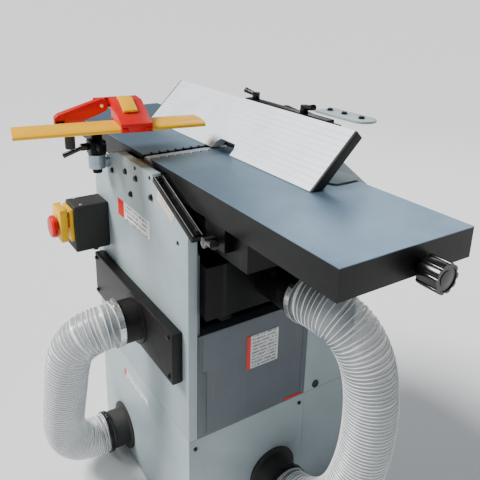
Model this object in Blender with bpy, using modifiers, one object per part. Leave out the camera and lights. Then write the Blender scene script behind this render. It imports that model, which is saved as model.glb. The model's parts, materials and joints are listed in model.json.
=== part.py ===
"""Combined surface planer and thicknesser with chip hoses, built piece by piece.

Metres, +Z up. X runs along the tables with the infeed end at +X, the operator stands at -Y, and the
floor is Z = 0. Heights given to lv() are measured from the table surface, and are negative below it.
"""

import math

import bmesh
import bpy
from mathutils import Matrix, Vector

# --- driving dimensions -------------------------------------------------------------------------
TABLE_Z = 0.850            # working height of both tables
TABLE_HALF = 0.135         # half the table width
SKIRT_Z = -0.0507          # lower edge of the table skirts
TOP_THICK = 0.012          # thickness of the table plate
SKIRT_THICK = 0.008
INFEED_LIP = 0.010
INFEED_END = 0.571
OUTFEED_LIP = -0.022
OUTFEED_END = -0.519
LIP_SLOTS = 7

CUTTER_X = -0.006
CUTTER_Z = -0.0365
CUTTER_R = 0.035
KNIFE_TIP_R = 0.0362
JOURNAL_R = 0.0125

BASE_X0 = -0.275
BASE_X1 = 0.217
BASE_Y0 = -0.160
BASE_Y1 = 0.285
BASE_TOP = -0.553
SHEET = 0.003
GAP = 0.0003               # clearance between pieces that touch

FENCE_Y = 0.0176           # front edge of the fence foot
FENCE_FOOT_Z = 0.0010
FENCE_HEIGHT = 0.137
FENCE_THICK = 0.020
FENCE_X0 = -0.318
FENCE_X1 = 0.332
FENCE_LEAN = math.radians(45.0)

SLIDE_ANGLE = math.radians(23.5)   # slope of the infeed table's slideways

GUARD_X = -0.042           # centre of the bridge guard bar
GUARD_Y = -0.198
GUARD_TURN = math.radians(-10.3)
BAR_TOP = 0.070
BAR_HALF_LENGTH = 0.1925
BAR_HALF_WIDTH = 0.042
BAR_THICK = 0.012

HOSE_R = 0.0495
PORT_R = 0.0475

FRONT_PORT = (-0.140, -0.780)      # x and level of the spigot on the operator side of the base
END_PORT = (0.060, -0.735)         # y and level of the spigot on its infeed end

BED_TOP = -0.290
ROLLER_Z = -0.062
ROLLER_R = 0.0135
INFEED_ROLLER_X = -0.075
OUTFEED_ROLLER_X = 0.063

MOTOR_X = -0.160
MOTOR_Z = -0.700

# --- finishes: colour, roughness, metallic ------------------------------------------------------
LIGHT_GREY = ("light_grey_paint", (0.50, 0.55, 0.56), 0.45, 0.0)
DARK_GREY = ("shaded_grey_paint", (0.34, 0.37, 0.39), 0.5, 0.0)
TABLE_STEEL = ("table_steel", (0.42, 0.50, 0.56), 0.32, 0.85)
BLACK_PAINT = ("black_paint", (0.018, 0.018, 0.019), 0.42, 0.0)
BLACK_PLASTIC = ("black_plastic", (0.02, 0.02, 0.02), 0.55, 0.0)
COVER_BLACK = ("cover_black", (0.055, 0.05, 0.045), 0.6, 0.0)
ALUMINIUM = ("fence_aluminium", (0.80, 0.83, 0.85), 0.35, 0.9)
STEEL = ("bright_steel", (0.62, 0.63, 0.65), 0.3, 1.0)
ZINC = ("zinc_steel", (0.45, 0.50, 0.54), 0.45, 0.9)
GUARD_YELLOW = ("guard_yellow", (1.0, 0.42, 0.012), 0.35, 0.0)
SIGNAL_RED = ("signal_red", (0.80, 0.02, 0.02), 0.4, 0.0)
START_GREEN = ("start_green", (0.02, 0.35, 0.06), 0.4, 0.0)
RUBBER = ("drive_rubber", (0.015, 0.015, 0.015), 0.8, 0.0)
HOSE_CLEAR = ("clear_hose", (0.80, 0.84, 0.87), 0.25, 0.0)
CREAM = ("scale_cream", (0.66, 0.60, 0.52), 0.5, 0.0)


def lv(height):
    """World height of a level measured from the table surface."""
    return TABLE_Z + height


def clear_scene():
    for old in list(bpy.data.objects):
        bpy.data.objects.remove(old, do_unlink=True)


def new_collection(name, hidden):
    group = bpy.data.collections.new(name)
    bpy.context.scene.collection.children.link(group)
    group.hide_render = hidden
    return group


def material_of(finish):
    name, colour, roughness, metallic = finish
    material = bpy.data.materials.get(name)
    if material is None:
        material = bpy.data.materials.new(name)
        material.use_nodes = True
        shader = material.node_tree.nodes["Principled BSDF"]
        shader.inputs["Base Color"].default_value = (*colour, 1.0)
        shader.inputs["Roughness"].default_value = roughness
        shader.inputs["Metallic"].default_value = metallic
        material.diffuse_color = (*colour, 1.0)
    return material


clear_scene()
PIECES = new_collection("thickness_planer", False)
CUTTERS = new_collection("cutters", True)


# --- shape helpers ------------------------------------------------------------------------------
def add_box(bm, x0, x1, y0, y1, z0, z1):
    """A closed box between two corners."""
    made = bmesh.ops.create_cube(bm, size=1.0)
    size = Matrix.Diagonal((x1 - x0, y1 - y0, z1 - z0, 1.0))
    middle = Matrix.Translation(((x0 + x1) / 2, (y0 + y1) / 2, (z0 + z1) / 2))
    bmesh.ops.transform(bm, matrix=middle @ size, verts=made["verts"])
    return made["verts"]


def add_rod(bm, start, end, radius, steps=24, end_radius=None):
    """A closed round bar, or a cone, between two points."""
    start = Vector(start)
    end = Vector(end)
    along = end - start
    turn = along.to_track_quat("Z", "Y").to_matrix().to_4x4()
    bmesh.ops.create_cone(
        bm,
        cap_ends=True,
        segments=steps,
        radius1=radius,
        radius2=radius if end_radius is None else end_radius,
        depth=along.length,
        matrix=Matrix.Translation((start + end) / 2) @ turn,
    )


def add_prism(bm, outline, plane, low, high):
    """A flat outline drawn in one plane ('xz', 'yz' or 'xy') and pushed from low to high."""
    spread = {
        "xz": lambda a, b, c: (a, c, b),
        "yz": lambda a, b, c: (c, a, b),
        "xy": lambda a, b, c: (a, b, c),
    }[plane]
    corners = [bm.verts.new(spread(a, b, low)) for a, b in outline]
    face = bm.faces.new(corners)
    pushed = bmesh.ops.extrude_face_region(bm, geom=[face])
    shift = Vector(spread(0.0, 0.0, high - low))
    moved = [item for item in pushed["geom"] if isinstance(item, bmesh.types.BMVert)]
    bmesh.ops.translate(bm, vec=shift, verts=moved)


def add_turned(bm, profile, start, axis, steps=32):
    """A closed profile of (radius, distance) corners spun round an axis from a point."""
    corners = [bm.verts.new((radius, 0.0, along)) for radius, along in profile]
    ring = list(zip(corners, corners[1:] + corners[:1]))
    edges = [bm.edges.new(pair) for pair in ring]
    before = set(bm.verts) - set(corners)
    bmesh.ops.spin(
        bm,
        geom=corners + edges,
        cent=(0.0, 0.0, 0.0),
        axis=(0.0, 0.0, 1.0),
        angle=math.tau,
        steps=steps,
        use_merge=True,
    )
    made = [vert for vert in bm.verts if vert not in before]
    turn = Vector(axis).to_track_quat("Z", "Y").to_matrix().to_4x4()
    bmesh.ops.transform(bm, matrix=Matrix.Translation(start) @ turn, verts=made)
    bmesh.ops.remove_doubles(bm, verts=made, dist=1e-6)


def ring_profile(inner, outer, low, high):
    return [(inner, low), (outer, low), (outer, high), (inner, high)]


def belt_outline(first, second, steps=16):
    """The loop a belt makes round two circles, each given as (x, z, radius)."""
    x1, z1, r1 = first
    x2, z2, r2 = second
    span = math.hypot(x2 - x1, z2 - z1)
    heading = math.atan2(z2 - z1, x2 - x1)
    open_angle = math.acos((r1 - r2) / span)
    points = []
    for i in range(steps + 1):
        turn = heading + open_angle + (math.tau - 2 * open_angle) * i / steps
        points.append((x1 + r1 * math.cos(turn), z1 + r1 * math.sin(turn)))
    for i in range(steps + 1):
        turn = heading - open_angle + 2 * open_angle * i / steps
        points.append((x2 + r2 * math.cos(turn), z2 + r2 * math.sin(turn)))
    return points


def object_from(bm, name, group, origin):
    bmesh.ops.recalc_face_normals(bm, faces=bm.faces)
    bmesh.ops.translate(bm, vec=-Vector(origin), verts=bm.verts)
    mesh = bpy.data.meshes.new(name)
    bm.to_mesh(mesh)
    bm.free()
    obj = bpy.data.objects.new(name, mesh)
    obj.location = origin
    group.objects.link(obj)
    return obj


def piece(name, bm, finish, origin=(0.0, 0.0, 0.0), smooth=False):
    """A sub-part: its mesh, its finish, and its origin on the joint axis."""
    obj = object_from(bm, name, PIECES, origin)
    obj.data.materials.append(material_of(finish))
    if smooth:
        obj.data.polygons.foreach_set("use_smooth", [True] * len(obj.data.polygons))
        obj.data.set_sharp_from_angle(angle=math.radians(35))
    return obj


def tool(name, bm):
    obj = object_from(bm, name, CUTTERS, (0.0, 0.0, 0.0))
    obj.hide_render = True
    obj.display_type = "WIRE"
    return obj


def combine(obj, cutter, operation):
    step = obj.modifiers.new(operation.lower() + "_" + cutter.name, "BOOLEAN")
    step.operation = operation
    step.object = cutter
    step.solver = "EXACT"
    step.use_self = operation == "UNION"
    return obj


def cut(obj, bm):
    return combine(obj, tool(obj.name + "_cut", bm), "DIFFERENCE")


def join(obj, bm):
    return combine(obj, tool(obj.name + "_add", bm), "UNION")


def soften(obj, width, segments=2, angle=40.0):
    """Rounds the sharp edges of a finished shape."""
    step = obj.modifiers.new("rounded", "BEVEL")
    step.width = width
    step.segments = segments
    step.limit_method = "ANGLE"
    step.angle_limit = math.radians(angle)
    return obj


def guard_frame():
    """Places shapes drawn along the guard bar, which lies a little askew of the cutterblock."""
    return Matrix.Translation((GUARD_X, GUARD_Y, TABLE_Z)) @ Matrix.Rotation(GUARD_TURN, 4, "Z")


def in_guard_frame(bm):
    """Local X points across the bar towards the infeed end, local Y along it."""
    bmesh.ops.transform(bm, matrix=guard_frame(), verts=bm.verts)
    return bm


def guard_point(across, along, height):
    return guard_frame() @ Vector((across, along, height))


# --- base cabinet and casings -------------------------------------------------------------------
def build_base():
    bm = bmesh.new()
    add_box(bm, BASE_X0, BASE_X1, BASE_Y0, BASE_Y1, 0.0, lv(BASE_TOP))
    base = piece("base_cabinet", bm, LIGHT_GREY)
    inner = bmesh.new()
    add_box(inner, BASE_X0 + SHEET, BASE_X1 - SHEET, BASE_Y0 + SHEET, BASE_Y1 - SHEET, 0.006, 0.60)
    cut(base, inner)
    holes = bmesh.new()
    front_x, front_z = FRONT_PORT
    end_y, end_z = END_PORT
    add_rod(holes, (front_x, -0.17, lv(front_z)), (front_x, -0.15, lv(front_z)), 0.0445, 32)
    add_rod(holes, (0.20, end_y, lv(end_z)), (0.23, end_y, lv(end_z)), 0.0445, 32)
    add_box(holes, -0.29, -0.26, -0.110, 0.240, lv(-0.815), lv(-0.595))
    combine(base, tool("base_openings", holes), "DIFFERENCE")
    return base


def build_door():
    bm = bmesh.new()
    x1 = BASE_X0 - GAP
    add_box(bm, x1 - 0.003, x1, -0.125, 0.255, lv(-0.825), lv(-0.585))
    door = piece("base_door", bm, LIGHT_GREY, (x1 - 0.003, -0.125, lv(-0.705)))
    grip = bmesh.new()
    add_box(grip, x1 - 0.028, x1 - 0.0025, 0.205, 0.217, lv(-0.735), lv(-0.675))
    hollow = bmesh.new()
    add_box(hollow, x1 - 0.020, x1 - 0.0031, 0.20, 0.222, lv(-0.725), lv(-0.685))
    join(door, grip)
    combine(door, tool("door_grip_space", hollow), "DIFFERENCE")
    return door


def casing_outline():
    slope = math.tan(SLIDE_ANGLE)
    return [
        (BASE_X0, lv(BASE_TOP) + GAP),
        (BASE_X1, lv(BASE_TOP) + GAP),
        (BASE_X1, lv(-0.024 - (BASE_X1 - 0.076) * slope)),
        (0.076, lv(-0.024)),
        (0.070, lv(-0.014)),
        (-0.108, lv(-0.014)),
        (-0.150, lv(-0.024)),
        (-0.205, lv(-0.050)),
        (-0.245, lv(-0.080)),
        (-0.264, lv(-0.112)),
    ]


def inset_outline(outline, by):
    """The same outline drawn inwards by one sheet thickness."""
    cx = sum(x for x, _ in outline) / len(outline)
    cz = sum(z for _, z in outline) / len(outline)
    wide = max(x for x, _ in outline) - min(x for x, _ in outline)
    tall = max(z for _, z in outline) - min(z for _, z in outline)
    return [(cx + (x - cx) * (1 - 2 * by / wide), cz + (z - cz) * (1 - 2 * by / tall)) for x, z in outline]


def build_front_casing():
    outline = casing_outline()
    bm = bmesh.new()
    add_prism(bm, outline, "xz", BASE_Y0, -0.1400)
    casing = piece("front_casing", bm, LIGHT_GREY)
    inner = bmesh.new()
    add_prism(inner, inset_outline(outline, 0.006), "xz", BASE_Y0 + SHEET, -0.130)
    cut(casing, inner)
    return casing


def wall_outline():
    """Side wall of the thicknesser, raised round the cutterblock bearing."""
    return [
        (BASE_X0 + 0.004, lv(BASE_TOP) + GAP),
        (BASE_X1 - 0.004, lv(BASE_TOP) + GAP),
        (BASE_X1 - 0.004, lv(-0.1365)),
        (0.130, lv(-0.0590)),
        (0.086, lv(-0.0590)),
        (0.084, lv(-0.0540)),
        (0.036, lv(-0.0540)),
        (0.030, lv(-0.0140)),
        (-0.042, lv(-0.0140)),
        (-0.048, lv(-0.0540)),
        (BASE_X0 + 0.030, lv(-0.0540)),
        (BASE_X0 + 0.004, lv(-0.0900)),
    ]


def build_side_wall(name, y0, y1):
    bm = bmesh.new()
    add_prism(bm, wall_outline(), "xz", y0, y1)
    wall = piece(name, bm, DARK_GREY)
    holes = bmesh.new()
    bores = (
        (CUTTER_X, CUTTER_Z, JOURNAL_R + GAP),
        (INFEED_ROLLER_X, ROLLER_Z, 0.006 + GAP),
        (OUTFEED_ROLLER_X, ROLLER_Z, 0.006 + GAP),
        (-0.150, -0.068, 0.004 + GAP),
    )
    for x, z, radius in bores:
        add_rod(holes, (x, y0 - 0.01, lv(z)), (x, y1 + 0.01, lv(z)), radius, 24)
    cut(wall, holes)
    return wall


def build_rear_casing():
    low = lv(BASE_TOP) + GAP
    bm = bmesh.new()
    shape = [
        (0.1420, low), (BASE_Y1, low), (BASE_Y1, lv(-0.0680)), (0.2060, lv(-0.0040)), (0.1420, lv(-0.0040)),
    ]
    add_prism(bm, shape, "yz", BASE_X0, BASE_X1)
    casing = piece("rear_casing", bm, LIGHT_GREY)
    inner = bmesh.new()
    room = [
        (0.1300, 0.20), (BASE_Y1 - SHEET, 0.20), (BASE_Y1 - SHEET, lv(-0.0695)), (0.2045, lv(-0.0070)),
        (0.1300, lv(-0.0070)),
    ]
    add_prism(inner, room, "yz", BASE_X0 + SHEET, BASE_X1 - SHEET)
    cut(casing, inner)
    return casing


def build_end_panel(name, x0, x1, inward):
    """Lower end sheet with a lip folded into the throat."""
    bm = bmesh.new()
    add_box(bm, x0, x1, -0.1395, 0.1415, lv(BASE_TOP) + GAP, lv(-0.3075))
    panel = piece(name, bm, DARK_GREY)
    lip = bmesh.new()
    add_box(lip, inward[0], inward[1], -0.1320, 0.1320, lv(-0.3105), lv(-0.3075))
    join(panel, lip)
    return panel


def build_end_panels():
    x0 = BASE_X1 - SHEET
    build_end_panel("end_panel_infeed", x0, BASE_X1, (x0 - 0.022, x0 + 0.001))
    x1 = BASE_X0 + SHEET
    panel = build_end_panel("end_panel_outfeed", BASE_X0, x1, (x1 - 0.001, x1 + 0.022))
    hole = bmesh.new()
    add_rod(hole, (BASE_X0 - 0.01, 0.0, lv(-0.505)), (x1 + 0.01, 0.0, lv(-0.505)), 0.0075, 24)
    cut(panel, hole)


def build_duct_cover():
    """Black box on the operator side with the spigot for the front hose."""
    back = BASE_Y0 - GAP
    face = -0.184
    level = lv(-0.357)
    bm = bmesh.new()
    add_box(bm, -0.235, 0.194, face, back, lv(-0.418), lv(-0.302))
    cover = piece("duct_cover", bm, COVER_BLACK)
    soften(cover, 0.003)
    flange = bmesh.new()
    add_rod(flange, (0.020, face + 0.002, level), (0.020, face - 0.005, level), 0.057, 40)
    join(cover, flange)
    spigot = bmesh.new()
    add_rod(spigot, (0.020, face + 0.001, level), (0.020, -0.225, level), PORT_R, 40)
    combine(cover, tool("duct_spigot", spigot), "UNION")
    bore = bmesh.new()
    add_rod(bore, (0.020, -0.230, level), (0.020, face + 0.015, level), PORT_R - 0.0025, 40)
    combine(cover, tool("duct_bore", bore), "DIFFERENCE")
    return cover


def build_base_port(name, centre, outward):
    """Flanged spigot that takes the lower end of a hose."""
    profile = [
        (PORT_R - 0.0025, 0.0),
        (0.062, 0.0),
        (0.062, 0.004),
        (PORT_R, 0.004),
        (PORT_R, 0.0445),
        (PORT_R - 0.0025, 0.0445),
    ]
    bm = bmesh.new()
    add_turned(bm, profile, centre, outward, 40)
    return piece(name, bm, BLACK_PLASTIC, smooth=True)


# --- tables -------------------------------------------------------------------------------------
def build_table(name, lip_x, end_x):
    """A table casting: a plate with skirts all round and an undercut, slotted lip."""
    bm = bmesh.new()
    add_box(bm, min(lip_x, end_x), max(lip_x, end_x), -TABLE_HALF, TABLE_HALF, lv(SKIRT_Z), lv(0.0))
    table = piece(name, bm, TABLE_STEEL)
    away = 1.0 if end_x > lip_x else -1.0
    pocket = bmesh.new()
    start = lip_x + away * 0.083
    stop = end_x - away * SKIRT_THICK
    side = TABLE_HALF - SKIRT_THICK
    add_box(pocket, min(start, stop), max(start, stop), -side, side, lv(-0.08), lv(-TOP_THICK))
    cut(table, pocket)
    under = bmesh.new()
    outline = [
        (lip_x - away * 0.010, lv(-0.0030)),
        (lip_x + away * 0.0005, lv(-0.0030)),
        (lip_x + away * 0.0150, lv(-0.0120)),
        (lip_x + away * 0.0750, lv(-0.0120)),
        (lip_x + away * 0.0750, lv(-0.0700)),
        (lip_x - away * 0.010, lv(-0.0700)),
    ]
    add_prism(under, outline, "xz", -0.20, 0.20)
    combine(table, tool(name + "_undercut", under), "DIFFERENCE")
    slots = bmesh.new()
    pitch = 2 * TABLE_HALF / (2 * LIP_SLOTS)
    for i in range(2 * LIP_SLOTS - 1):
        y = -TABLE_HALF + pitch * (i + 1)
        near = lip_x - away * 0.004
        far = lip_x + away * 0.009
        add_box(slots, min(near, far), max(near, far), y - 0.0025, y + 0.0025, lv(-0.02), lv(0.01))
    combine(table, tool(name + "_slots", slots), "DIFFERENCE")
    return table


def build_infeed_carriage():
    """Black slide casting bolted under the infeed table, riding between the side walls."""
    bm = bmesh.new()
    outline = [
        (0.142, lv(SKIRT_Z) - GAP),
        (0.345, lv(SKIRT_Z) - GAP),
        (0.345, lv(-0.1180)),
        (0.218, lv(-0.1180)),
        (0.142, lv(-0.0850)),
    ]
    add_prism(bm, outline, "xz", -0.1180, 0.1180)
    carriage = piece("infeed_carriage", bm, BLACK_PAINT)
    hollow = bmesh.new()
    add_box(hollow, 0.150, 0.337, -0.110, 0.110, lv(-0.20), lv(-0.040))
    cut(carriage, hollow)
    ears = bmesh.new()
    for y0, y1 in ((-0.1345, -0.1175), (0.1175, 0.1345)):
        add_box(ears, 0.235, 0.300, y0, y1, lv(-0.0950), lv(SKIRT_Z) - GAP)
    combine(carriage, tool("infeed_ears", ears), "UNION")
    return carriage


def slide_point(along, off):
    """A point along the slope of the slideway and off it."""
    x = 0.076 + along * math.cos(SLIDE_ANGLE) + off * math.sin(SLIDE_ANGLE)
    z = lv(-0.024) - along * math.sin(SLIDE_ANGLE) + off * math.cos(SLIDE_ANGLE)
    return x, z


def build_slideway(name, y0, y1):
    outline = [
        slide_point(0.003, 0.0006),
        slide_point(0.176, 0.0006),
        slide_point(0.176, 0.0130),
        slide_point(0.003, 0.0110),
    ]
    bm = bmesh.new()
    add_prism(bm, outline, "xz", y0, y1)
    slideway = piece(name, bm, BLACK_PAINT)
    grooves = bmesh.new()
    middle = (y0 + y1) / 2
    strip = [
        slide_point(0.020, 0.0080),
        slide_point(0.160, 0.0098),
        slide_point(0.160, 0.0160),
        slide_point(0.020, 0.0160),
    ]
    add_prism(grooves, strip, "xz", middle - 0.005, middle + 0.005)
    cut(slideway, grooves)
    return slideway


def ribbed_knob(bm, start, axis, radius, length, ribs):
    """A hand knob: a turned core with evenly spaced grip ribs."""
    add_turned(bm, [(0.0, 0.0), (radius * 0.93, 0.0), (radius, 0.003), (radius, length - 0.004),
                    (radius * 0.9, length), (0.0, length)], start, axis, ribs * 2)


def build_height_knob():
    centre = Vector((INFEED_END, 0.027, lv(-0.0400)))
    bm = bmesh.new()
    ribbed_knob(bm, centre + Vector((0.0060, 0.0, 0.0)), (1.0, 0.0, 0.0), 0.024, 0.036, 18)
    knob = piece("height_knob", bm, BLACK_PLASTIC, centre, smooth=True)
    stem = bmesh.new()
    add_rod(stem, centre + Vector((GAP, 0.0, 0.0)), centre + Vector((0.0080, 0.0, 0.0)), 0.010, 24)
    join(knob, stem)
    return knob


def build_table_lock():
    """Clamp lever at the low end of the slideway."""
    centre = Vector((0.268, -0.1360, lv(-0.0820)))
    bm = bmesh.new()
    add_rod(bm, centre, centre + Vector((0.0, -0.022, 0.0)), 0.010, 24)
    lever = piece("infeed_lock_lever", bm, BLACK_PLASTIC, centre, smooth=True)
    arm = bmesh.new()
    tip = centre + Vector((0.050, -0.030, 0.018))
    add_rod(arm, centre + Vector((0.0, -0.014, 0.0)), tip, 0.0055, 16, 0.008)
    join(lever, arm)
    return lever


# --- cutterblock, feed and drive ----------------------------------------------------------------
def build_cutterblock():
    centre = (CUTTER_X, 0.0, lv(CUTTER_Z))
    bm = bmesh.new()
    profile = [
        (0.0, -0.1500), (JOURNAL_R, -0.1500), (JOURNAL_R, -0.1310), (CUTTER_R, -0.1310),
        (CUTTER_R, 0.1310), (JOURNAL_R, 0.1310), (JOURNAL_R, 0.1560), (0.010, 0.1560),
        (0.010, 0.1660), (0.0225, 0.1660), (0.0225, 0.1890), (0.0, 0.1890),
    ]
    add_turned(bm, profile, centre, (0.0, 1.0, 0.0), 48)
    block = piece("cutterblock", bm, STEEL, centre, smooth=True)
    blades = bmesh.new()
    gullets = bmesh.new()
    for i in range(3):
        turn = Matrix.Translation(centre) @ Matrix.Rotation(math.tau * i / 3 + math.radians(35), 4, "Y")
        made = add_box(blades, -0.0015, 0.0015, -0.1300, 0.1300, 0.020, KNIFE_TIP_R)
        bmesh.ops.transform(blades, matrix=turn, verts=made)
        made = add_box(gullets, 0.0012, 0.0110, -0.1290, 0.1290, 0.0290, 0.0500)
        bmesh.ops.transform(gullets, matrix=turn, verts=made)
    combine(block, tool("cutter_gullets", gullets), "DIFFERENCE")
    combine(block, tool("cutter_knives", blades), "UNION")
    return block


def build_feed_roller(name, x):
    centre = (x, 0.0, lv(ROLLER_Z))
    bm = bmesh.new()
    profile = [
        (0.0, -0.1390), (0.006, -0.1390), (0.006, -0.1300), (ROLLER_R, -0.1300),
        (ROLLER_R, 0.1300), (0.006, 0.1300), (0.006, 0.1960), (0.022, 0.1960),
        (0.022, 0.2000), (0.0, 0.2000),
    ]
    add_turned(bm, profile, centre, (0.0, 1.0, 0.0), 36)
    return piece(name, bm, STEEL, centre, smooth=True)


def build_loop(name, first, second, thick, y0, y1, finish):
    bm = bmesh.new()
    bigger = [(x, z, r + thick + GAP) for x, z, r in (first, second)]
    add_prism(bm, belt_outline(*bigger), "xz", y0, y1)
    loop = piece(name, bm, finish)
    inner = bmesh.new()
    smaller = [(x, z, r + GAP) for x, z, r in (first, second)]
    add_prism(inner, belt_outline(*smaller), "xz", y0 - 0.01, y1 + 0.01)
    cut(loop, inner)
    return loop


def build_motor():
    bm = bmesh.new()
    centre = (MOTOR_X, 0.0, lv(MOTOR_Z))
    profile = [
        (0.0, -0.105), (0.060, -0.105), (0.070, -0.095), (0.070, 0.110),
        (0.030, 0.125), (0.0, 0.125),
    ]
    add_turned(bm, profile, centre, (0.0, 1.0, 0.0), 40)
    motor = piece("motor", bm, DARK_GREY, smooth=True)
    foot = bmesh.new()
    add_box(foot, MOTOR_X - 0.075, MOTOR_X + 0.065, -0.08, 0.09, lv(-0.8437), lv(-0.755))
    join(motor, foot)
    return motor


def build_motor_pulley():
    centre = (MOTOR_X, 0.0, lv(MOTOR_Z))
    bm = bmesh.new()
    profile = [
        (0.0, 0.1253), (0.010, 0.1253), (0.010, 0.1660), (0.044, 0.1660),
        (0.044, 0.1890), (0.0, 0.1890),
    ]
    add_turned(bm, profile, centre, (0.0, 1.0, 0.0), 40)
    return piece("motor_pulley", bm, STEEL, centre, smooth=True)


def build_fingers():
    """Anti-kickback fingers side by side on one rod."""
    centre = (-0.150, 0.0, lv(-0.068))
    bm = bmesh.new()
    add_rod(bm, (-0.150, -0.1390, lv(-0.068)), (-0.150, 0.1410, lv(-0.068)), 0.004, 20)
    fingers = piece("kickback_fingers", bm, STEEL, centre)
    blades = bmesh.new()
    count = 15
    for i in range(count):
        y = -0.112 + 0.224 * i / (count - 1)
        outline = [
            (-0.1580, lv(-0.0620)), (-0.1420, lv(-0.0620)),
            (-0.1420, lv(-0.1050)), (-0.1500, lv(-0.1180)), (-0.1580, lv(-0.1050)),
        ]
        add_prism(blades, outline, "xz", y - 0.005, y + 0.005)
    join(fingers, blades)
    return fingers


def build_bed():
    top = lv(BED_TOP)
    bm = bmesh.new()
    add_box(bm, -0.225, 0.165, -0.1295, 0.1295, top - 0.026, top)
    bed = piece("thicknesser_bed", bm, TABLE_STEEL)
    under = bmesh.new()
    add_box(under, -0.217, 0.157, -0.1215, 0.1215, top - 0.06, top - 0.012)
    cut(bed, under)
    boss = bmesh.new()
    add_rod(boss, (-0.030, 0.0, top - 0.100), (-0.030, 0.0, top - 0.010), 0.028, 32)
    combine(bed, tool("bed_boss", boss), "UNION")
    bore = bmesh.new()
    add_rod(bore, (-0.030, 0.0, top - 0.15), (-0.030, 0.0, top - 0.014), 0.0125, 24)
    combine(bed, tool("bed_bore", bore), "DIFFERENCE")
    return bed


def build_bed_screw():
    centre = (-0.030, 0.0, lv(-0.5397))
    bm = bmesh.new()
    profile = [
        (0.0, 0.0), (0.020, 0.0), (0.020, 0.006), (0.011, 0.014), (0.011, 0.232), (0.0, 0.232),
    ]
    add_turned(bm, profile, centre, (0.0, 0.0, 1.0), 24)
    return piece("bed_screw", bm, STEEL, centre, smooth=True)


def build_screw_support():
    bm = bmesh.new()
    add_box(bm, -0.070, 0.010, -0.1325, 0.1325, lv(-0.5520), lv(-0.5400))
    return piece("screw_support", bm, BLACK_PAINT)


def build_bed_crank():
    """Crank on the outfeed end that raises the thicknesser bed."""
    centre = Vector((BASE_X0, 0.0, lv(-0.505)))
    bm = bmesh.new()
    add_rod(bm, centre + Vector((-0.026, 0, 0)), centre + Vector((0.218, 0, 0)), 0.0072, 20)
    crank = piece("bed_crank", bm, BLACK_PAINT, centre, smooth=True)
    arm = bmesh.new()
    add_box(arm, BASE_X0 - 0.026, BASE_X0 - 0.016, -0.011, 0.096, lv(-0.516), lv(-0.494))
    join(crank, arm)
    grip = bmesh.new()
    add_rod(grip, (BASE_X0 - 0.080, 0.085, lv(-0.505)), (BASE_X0 - 0.020, 0.085, lv(-0.505)), 0.010, 20)
    combine(crank, tool("crank_grip", grip), "UNION")
    return crank


def hood_outline(t):
    """Side view of the chip hood, drawn inwards by t for its hollow."""
    return [
        (-0.060 + t, lv(-0.0850) + (0.01 if t else 0.0)),
        (-0.056 + t, lv(-0.1200) + t * 0.4),
        (0.040, lv(-0.2000) + t * 1.2),
        (0.236 - t, lv(-0.2640) + t * 1.1),
        (0.236 - t, lv(-0.1530) - t),
        (0.110, lv(-0.1330) - t),
        (0.050 - t, lv(-0.0900)),
        (0.048 - t, lv(-0.0850) + (0.01 if t else 0.0)),
    ]


def build_chip_hood():
    bm = bmesh.new()
    add_prism(bm, hood_outline(0.0), "xz", -0.1325, 0.1325)
    hood = piece("chip_hood", bm, BLACK_PAINT)
    inner = bmesh.new()
    add_prism(inner, hood_outline(0.003), "xz", -0.1295, 0.1295)
    cut(hood, inner)
    spigot = bmesh.new()
    add_rod(spigot, (0.2345, 0.025, lv(-0.2050)), (0.3300, 0.025, lv(-0.2050)), PORT_R, 40)
    join(hood, spigot)
    bore = bmesh.new()
    add_rod(bore, (0.2200, 0.025, lv(-0.2050)), (0.3400, 0.025, lv(-0.2050)), PORT_R - 0.0025, 40)
    combine(hood, tool("hood_bore", bore), "DIFFERENCE")
    return hood


# --- hoses and clamps ---------------------------------------------------------------------------
def smooth_route(points, count):
    """Evenly read points of a smooth curve through a hand-chosen route."""
    knots = [Vector(p) for p in points]
    ends = [2 * knots[0] - knots[1]] + knots + [2 * knots[-1] - knots[-2]]
    spans = len(knots) - 1
    route = []
    for i in range(count):
        where = spans * i / (count - 1)
        k = min(int(where), spans - 1)
        t = where - k
        a, b, c, d = ends[k:k + 4]
        route.append(0.5 * ((2 * b) + (c - a) * t + (2 * a - 5 * b + 4 * c - d) * t * t
                            + (3 * b - a - 3 * c + d) * t * t * t))
    return route


FRONT_HOSE = [
    (0.020, -0.2253, lv(-0.357)),
    (0.016, -0.262, lv(-0.360)),
    (0.004, -0.296, lv(-0.375)),
    (-0.014, -0.321, lv(-0.410)),
    (-0.030, -0.331, lv(-0.465)),
    (-0.046, -0.334, lv(-0.525)),
    (-0.065, -0.336, lv(-0.588)),
    (-0.088, -0.334, lv(-0.650)),
    (-0.112, -0.322, lv(-0.710)),
    (-0.129, -0.292, lv(-0.757)),
    (-0.138, -0.250, lv(-0.777)),
    (-0.140, -0.2053, lv(-0.780)),
]
END_HOSE = [
    (0.3303, 0.025, lv(-0.205)),
    (0.366, 0.029, lv(-0.206)),
    (0.402, 0.039, lv(-0.214)),
    (0.432, 0.053, lv(-0.238)),
    (0.452, 0.068, lv(-0.282)),
    (0.461, 0.078, lv(-0.338)),
    (0.463, 0.083, lv(-0.400)),
    (0.460, 0.084, lv(-0.470)),
    (0.450, 0.082, lv(-0.540)),
    (0.430, 0.077, lv(-0.610)),
    (0.396, 0.071, lv(-0.668)),
    (0.350, 0.065, lv(-0.710)),
    (0.304, 0.061, lv(-0.731)),
    (0.2623, 0.060, lv(-0.735)),
]


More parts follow.
